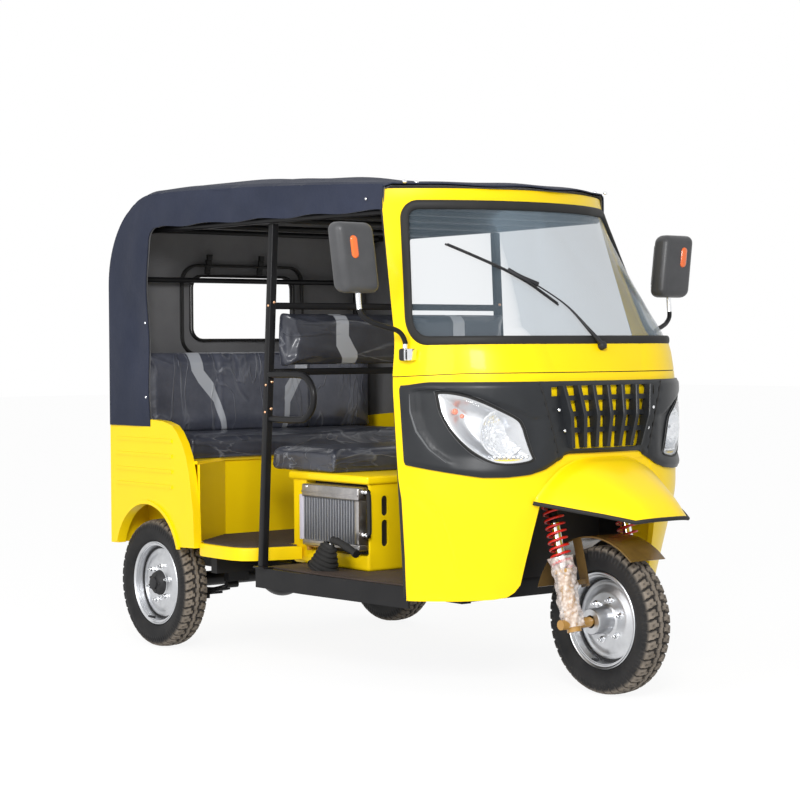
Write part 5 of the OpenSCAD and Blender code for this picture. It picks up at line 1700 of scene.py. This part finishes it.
def poles():
    data = {"x": 0.74, "half": 0.0145, "low": 0.3732, "bars": (1.0985, 1.344), "barHalf": 0.0125}
    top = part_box("partition_frame")[1][2] - 0.001
    # the poles lean in towards the roof
    lean = lambda z: mix(0.6, 0.5415, (z - data["low"]) / (top - data["low"]))
    bm = bmesh.new()
    for side in (-1, 1):
        made = len(bm.verts)
        block(bm, place(data["x"] - data["half"], -data["half"], data["low"]),
              place(data["x"] + data["half"], data["half"], top), 0.004, 3)
        bm.verts.ensure_lookup_table()
        for vert in bm.verts[made:]:
            vert.co.y += side * lean(vert.co.z)
        block(bm, place(data["x"] - 0.035, side * 0.6 - 0.022, data["low"]),
              place(data["x"] + 0.035, side * 0.6 + 0.022, data["low"] + 0.006), 0.002)
    for z in data["bars"]:
        block(bm, place(data["x"] - data["barHalf"], -lean(z), z - data["barHalf"]),
              place(data["x"] + data["barHalf"], lean(z), z + data["barHalf"]), 0.004, 3)
    dress(pieceFrom(bm, "partitionPoles"), blackPaint, ("partition_frame",), 35)
    tubes = []
    bm = bmesh.new()
    for side in (-1, 1):
        y = side * lean(1.008)
        start = data["x"] + data["half"] - 0.004
        loop = [place(start, y, 1.09), place(0.93, y, 1.09), place(0.985, y, 1.078), place(1.02, y, 1.045),
                place(1.03, y, 1.008), place(1.02, y, 0.971), place(0.985, y, 0.938),
                place(0.93, y, 0.926), place(start, y, 0.926)]
        tubes.append(tubePoints(spline(loop, 90), 0.0125, 18))
        for z in (1.357, 1.063, 0.963):
            stud(bm, place(data["x"] + data["half"], side * (lean(z) - 0.004), z), (1, 0, 0), 0.0065, 0.006)
            stud(bm, place(data["x"] + 0.003, side * (lean(z) + data["half"]), z - 0.012), (0, side, 0),
                 0.0055, 0.0045)
    dress(merged("grabHandles", tubes), blackPaint, ("grab_handles",), 40)
    dress(pieceFrom(bm, "poleBolts"), copper, angle=40)


def canopyTrim():
    data = {"half": 0.306, "z": (1.165, 1.535), "radius": 0.07, "straps": (-0.186, 0.077)}
    sill, head = roof["window"]
    loops = [roundBox((data["half"],) * 2, *data["z"], data["radius"], 8),
             roundBox((roof["windowHalf"] + 0.004,) * 2, sill - 0.004, head + 0.004, 0.05, 8)]
    turnZ = roof["edge"] - roof["turn"]

    def wall(z):  # station of the rear cloth at a height
        if z < turnZ:
            return roof["back"]
        return roof["back"] + roof["turn"] - math.sqrt(max(0, roof["turn"] ** 2 - (z - turnZ) ** 2))

    parts = []
    for path in loops:
        for offset in (-0.007, 0.012):
            parts.append(tubePoints([place(wall(z) + offset, y, z) for y, z in path], 0.005, 8, True))
    dress(merged("windowPiping", parts), rubber)
    bm = bmesh.new()
    for y in data["straps"]:
        for z in steps(1.5, 1.58, 5)[:-1]:
            block(bm, place(wall(z) + 0.009, y - 0.012, z),
                  place(wall(z + 0.02) + 0.014, y + 0.012, z + 0.021), 0.001)
    dress(pieceFrom(bm, "windowStraps"), rubber, angle=35)
    bm = bmesh.new()
    for side in (-1, 1):
        for z in (1.42, 1.29, 0.996):
            stud(bm, place(0.012, side * (roofHalf(0.012) + 0.009), z), (0, side, 0), 0.0055, 0.004)
        stud(bm, place(1.3, side * (roofHalf(1.3) + 0.008), 1.706), (0, side, 0), 0.0055, 0.004)
        for y in (0.478, 0.425):
            stud(bm, place(1.445, side * y, roofEdge(1.385) + 0.002), (0.5, 0, 1), 0.009, 0.006)
    dress(pieceFrom(bm, "canopyRivets"), chrome, angle=40)


floors()
seatBox()
radiator()
handBrake()
poles()
canopyTrim()


# camera at the angle of the photograph
def makeCamera():
    view = {"turn": 51.9, "tilt": -1.5, "roll": -0.34, "lens": 90.72, "sensor": 36,
            "at": (6.917, -4.794, 1.188)}
    turn, tilt, roll = (math.radians(view[key]) for key in ("turn", "tilt", "roll"))
    ahead = Vector((-math.sin(turn) * math.cos(tilt), math.cos(turn) * math.cos(tilt), math.sin(tilt)))
    right = Vector((math.cos(turn), math.sin(turn), 0))
    up = right.cross(ahead)
    side = right * math.cos(roll) + up * math.sin(roll)
    top = up * math.cos(roll) - right * math.sin(roll)
    data = bpy.data.cameras.new("camera")
    data.lens, data.sensor_width = view["lens"], view["sensor"]
    cam = linkObject("camera", data)
    turned = Matrix((side, top, -ahead)).transposed().to_4x4()
    cam.matrix_world = Matrix.Translation(place(*view["at"])) @ turned
    scene.camera = cam


def makeStage():
    data = {"ambient": 0.56, "paper": 0.86, "glow": 1.05, "key": (5.0, -4.1, 3.5), "keySize": 1.6,
            "keyPower": 270, "fill": (1.5, -6.5, 3.0), "fillSize": 3.5, "fillPower": 170,
            "aim": (0.2, 0, 0.9)}
    bm = bmesh.new()
    bmesh.ops.create_grid(bm, x_segments=1, y_segments=1, size=40)
    floor = pieceFrom(bm, "floor")

    def seenDirectly(tree):  # camera, mirror and glass rays
        path = addNode(tree, "LightPath")
        first = addNode(tree, "Math", operation="MAXIMUM")
        both = addNode(tree, "Math", operation="MAXIMUM")
        wire(tree, path, "Is Camera Ray", first, 0)
        wire(tree, path, "Is Glossy Ray", first, 1)
        wire(tree, first, 0, both, 0)
        wire(tree, path, "Is Transmission Ray", both, 1)
        return both.outputs[0]

    mat, tree, shader = newMaterial("floorPaper", (0.9, 0.9, 0.9), 0.9)
    glow = addNode(tree, "Emission", Strength=data["glow"])
    share = addNode(tree, "MapRange", To_Max=data["paper"])
    blend = addNode(tree, "MixShader")
    tree.links.new(seenDirectly(tree), share.inputs["Value"])
    wire(tree, share, "Result", blend, 0)
    wire(tree, shader, 0, blend, 1)
    wire(tree, glow, 0, blend, 2)
    tree.links.new(blend.outputs[0], tree.nodes["Material Output"].inputs["Surface"])
    floor.data.materials.append(mat)
    world = bpy.data.worlds.new("studio")
    world.use_nodes = True
    tree = world.node_tree
    sky = tree.nodes["Background"]
    sky.inputs["Color"].default_value = (1, 1, 1, 1)
    level = addNode(tree, "MapRange", To_Min=data["ambient"], To_Max=1.0)
    tree.links.new(seenDirectly(tree), level.inputs["Value"])
    wire(tree, level, "Result", sky, "Strength")
    scene.world = world
    for name in ("key", "fill"):
        light = bpy.data.lights.new(name, "AREA")
        light.size, light.energy = data[name + "Size"], data[name + "Power"]
        lamp = linkObject(name, light)
        lamp.location = data[name]
        aim = Vector(data["aim"]) - Vector(data[name])
        lamp.rotation_euler = aim.to_track_quat("-Z", "Y").to_euler()


makeCamera()
makeStage()
scene.view_settings.view_transform = "Standard"
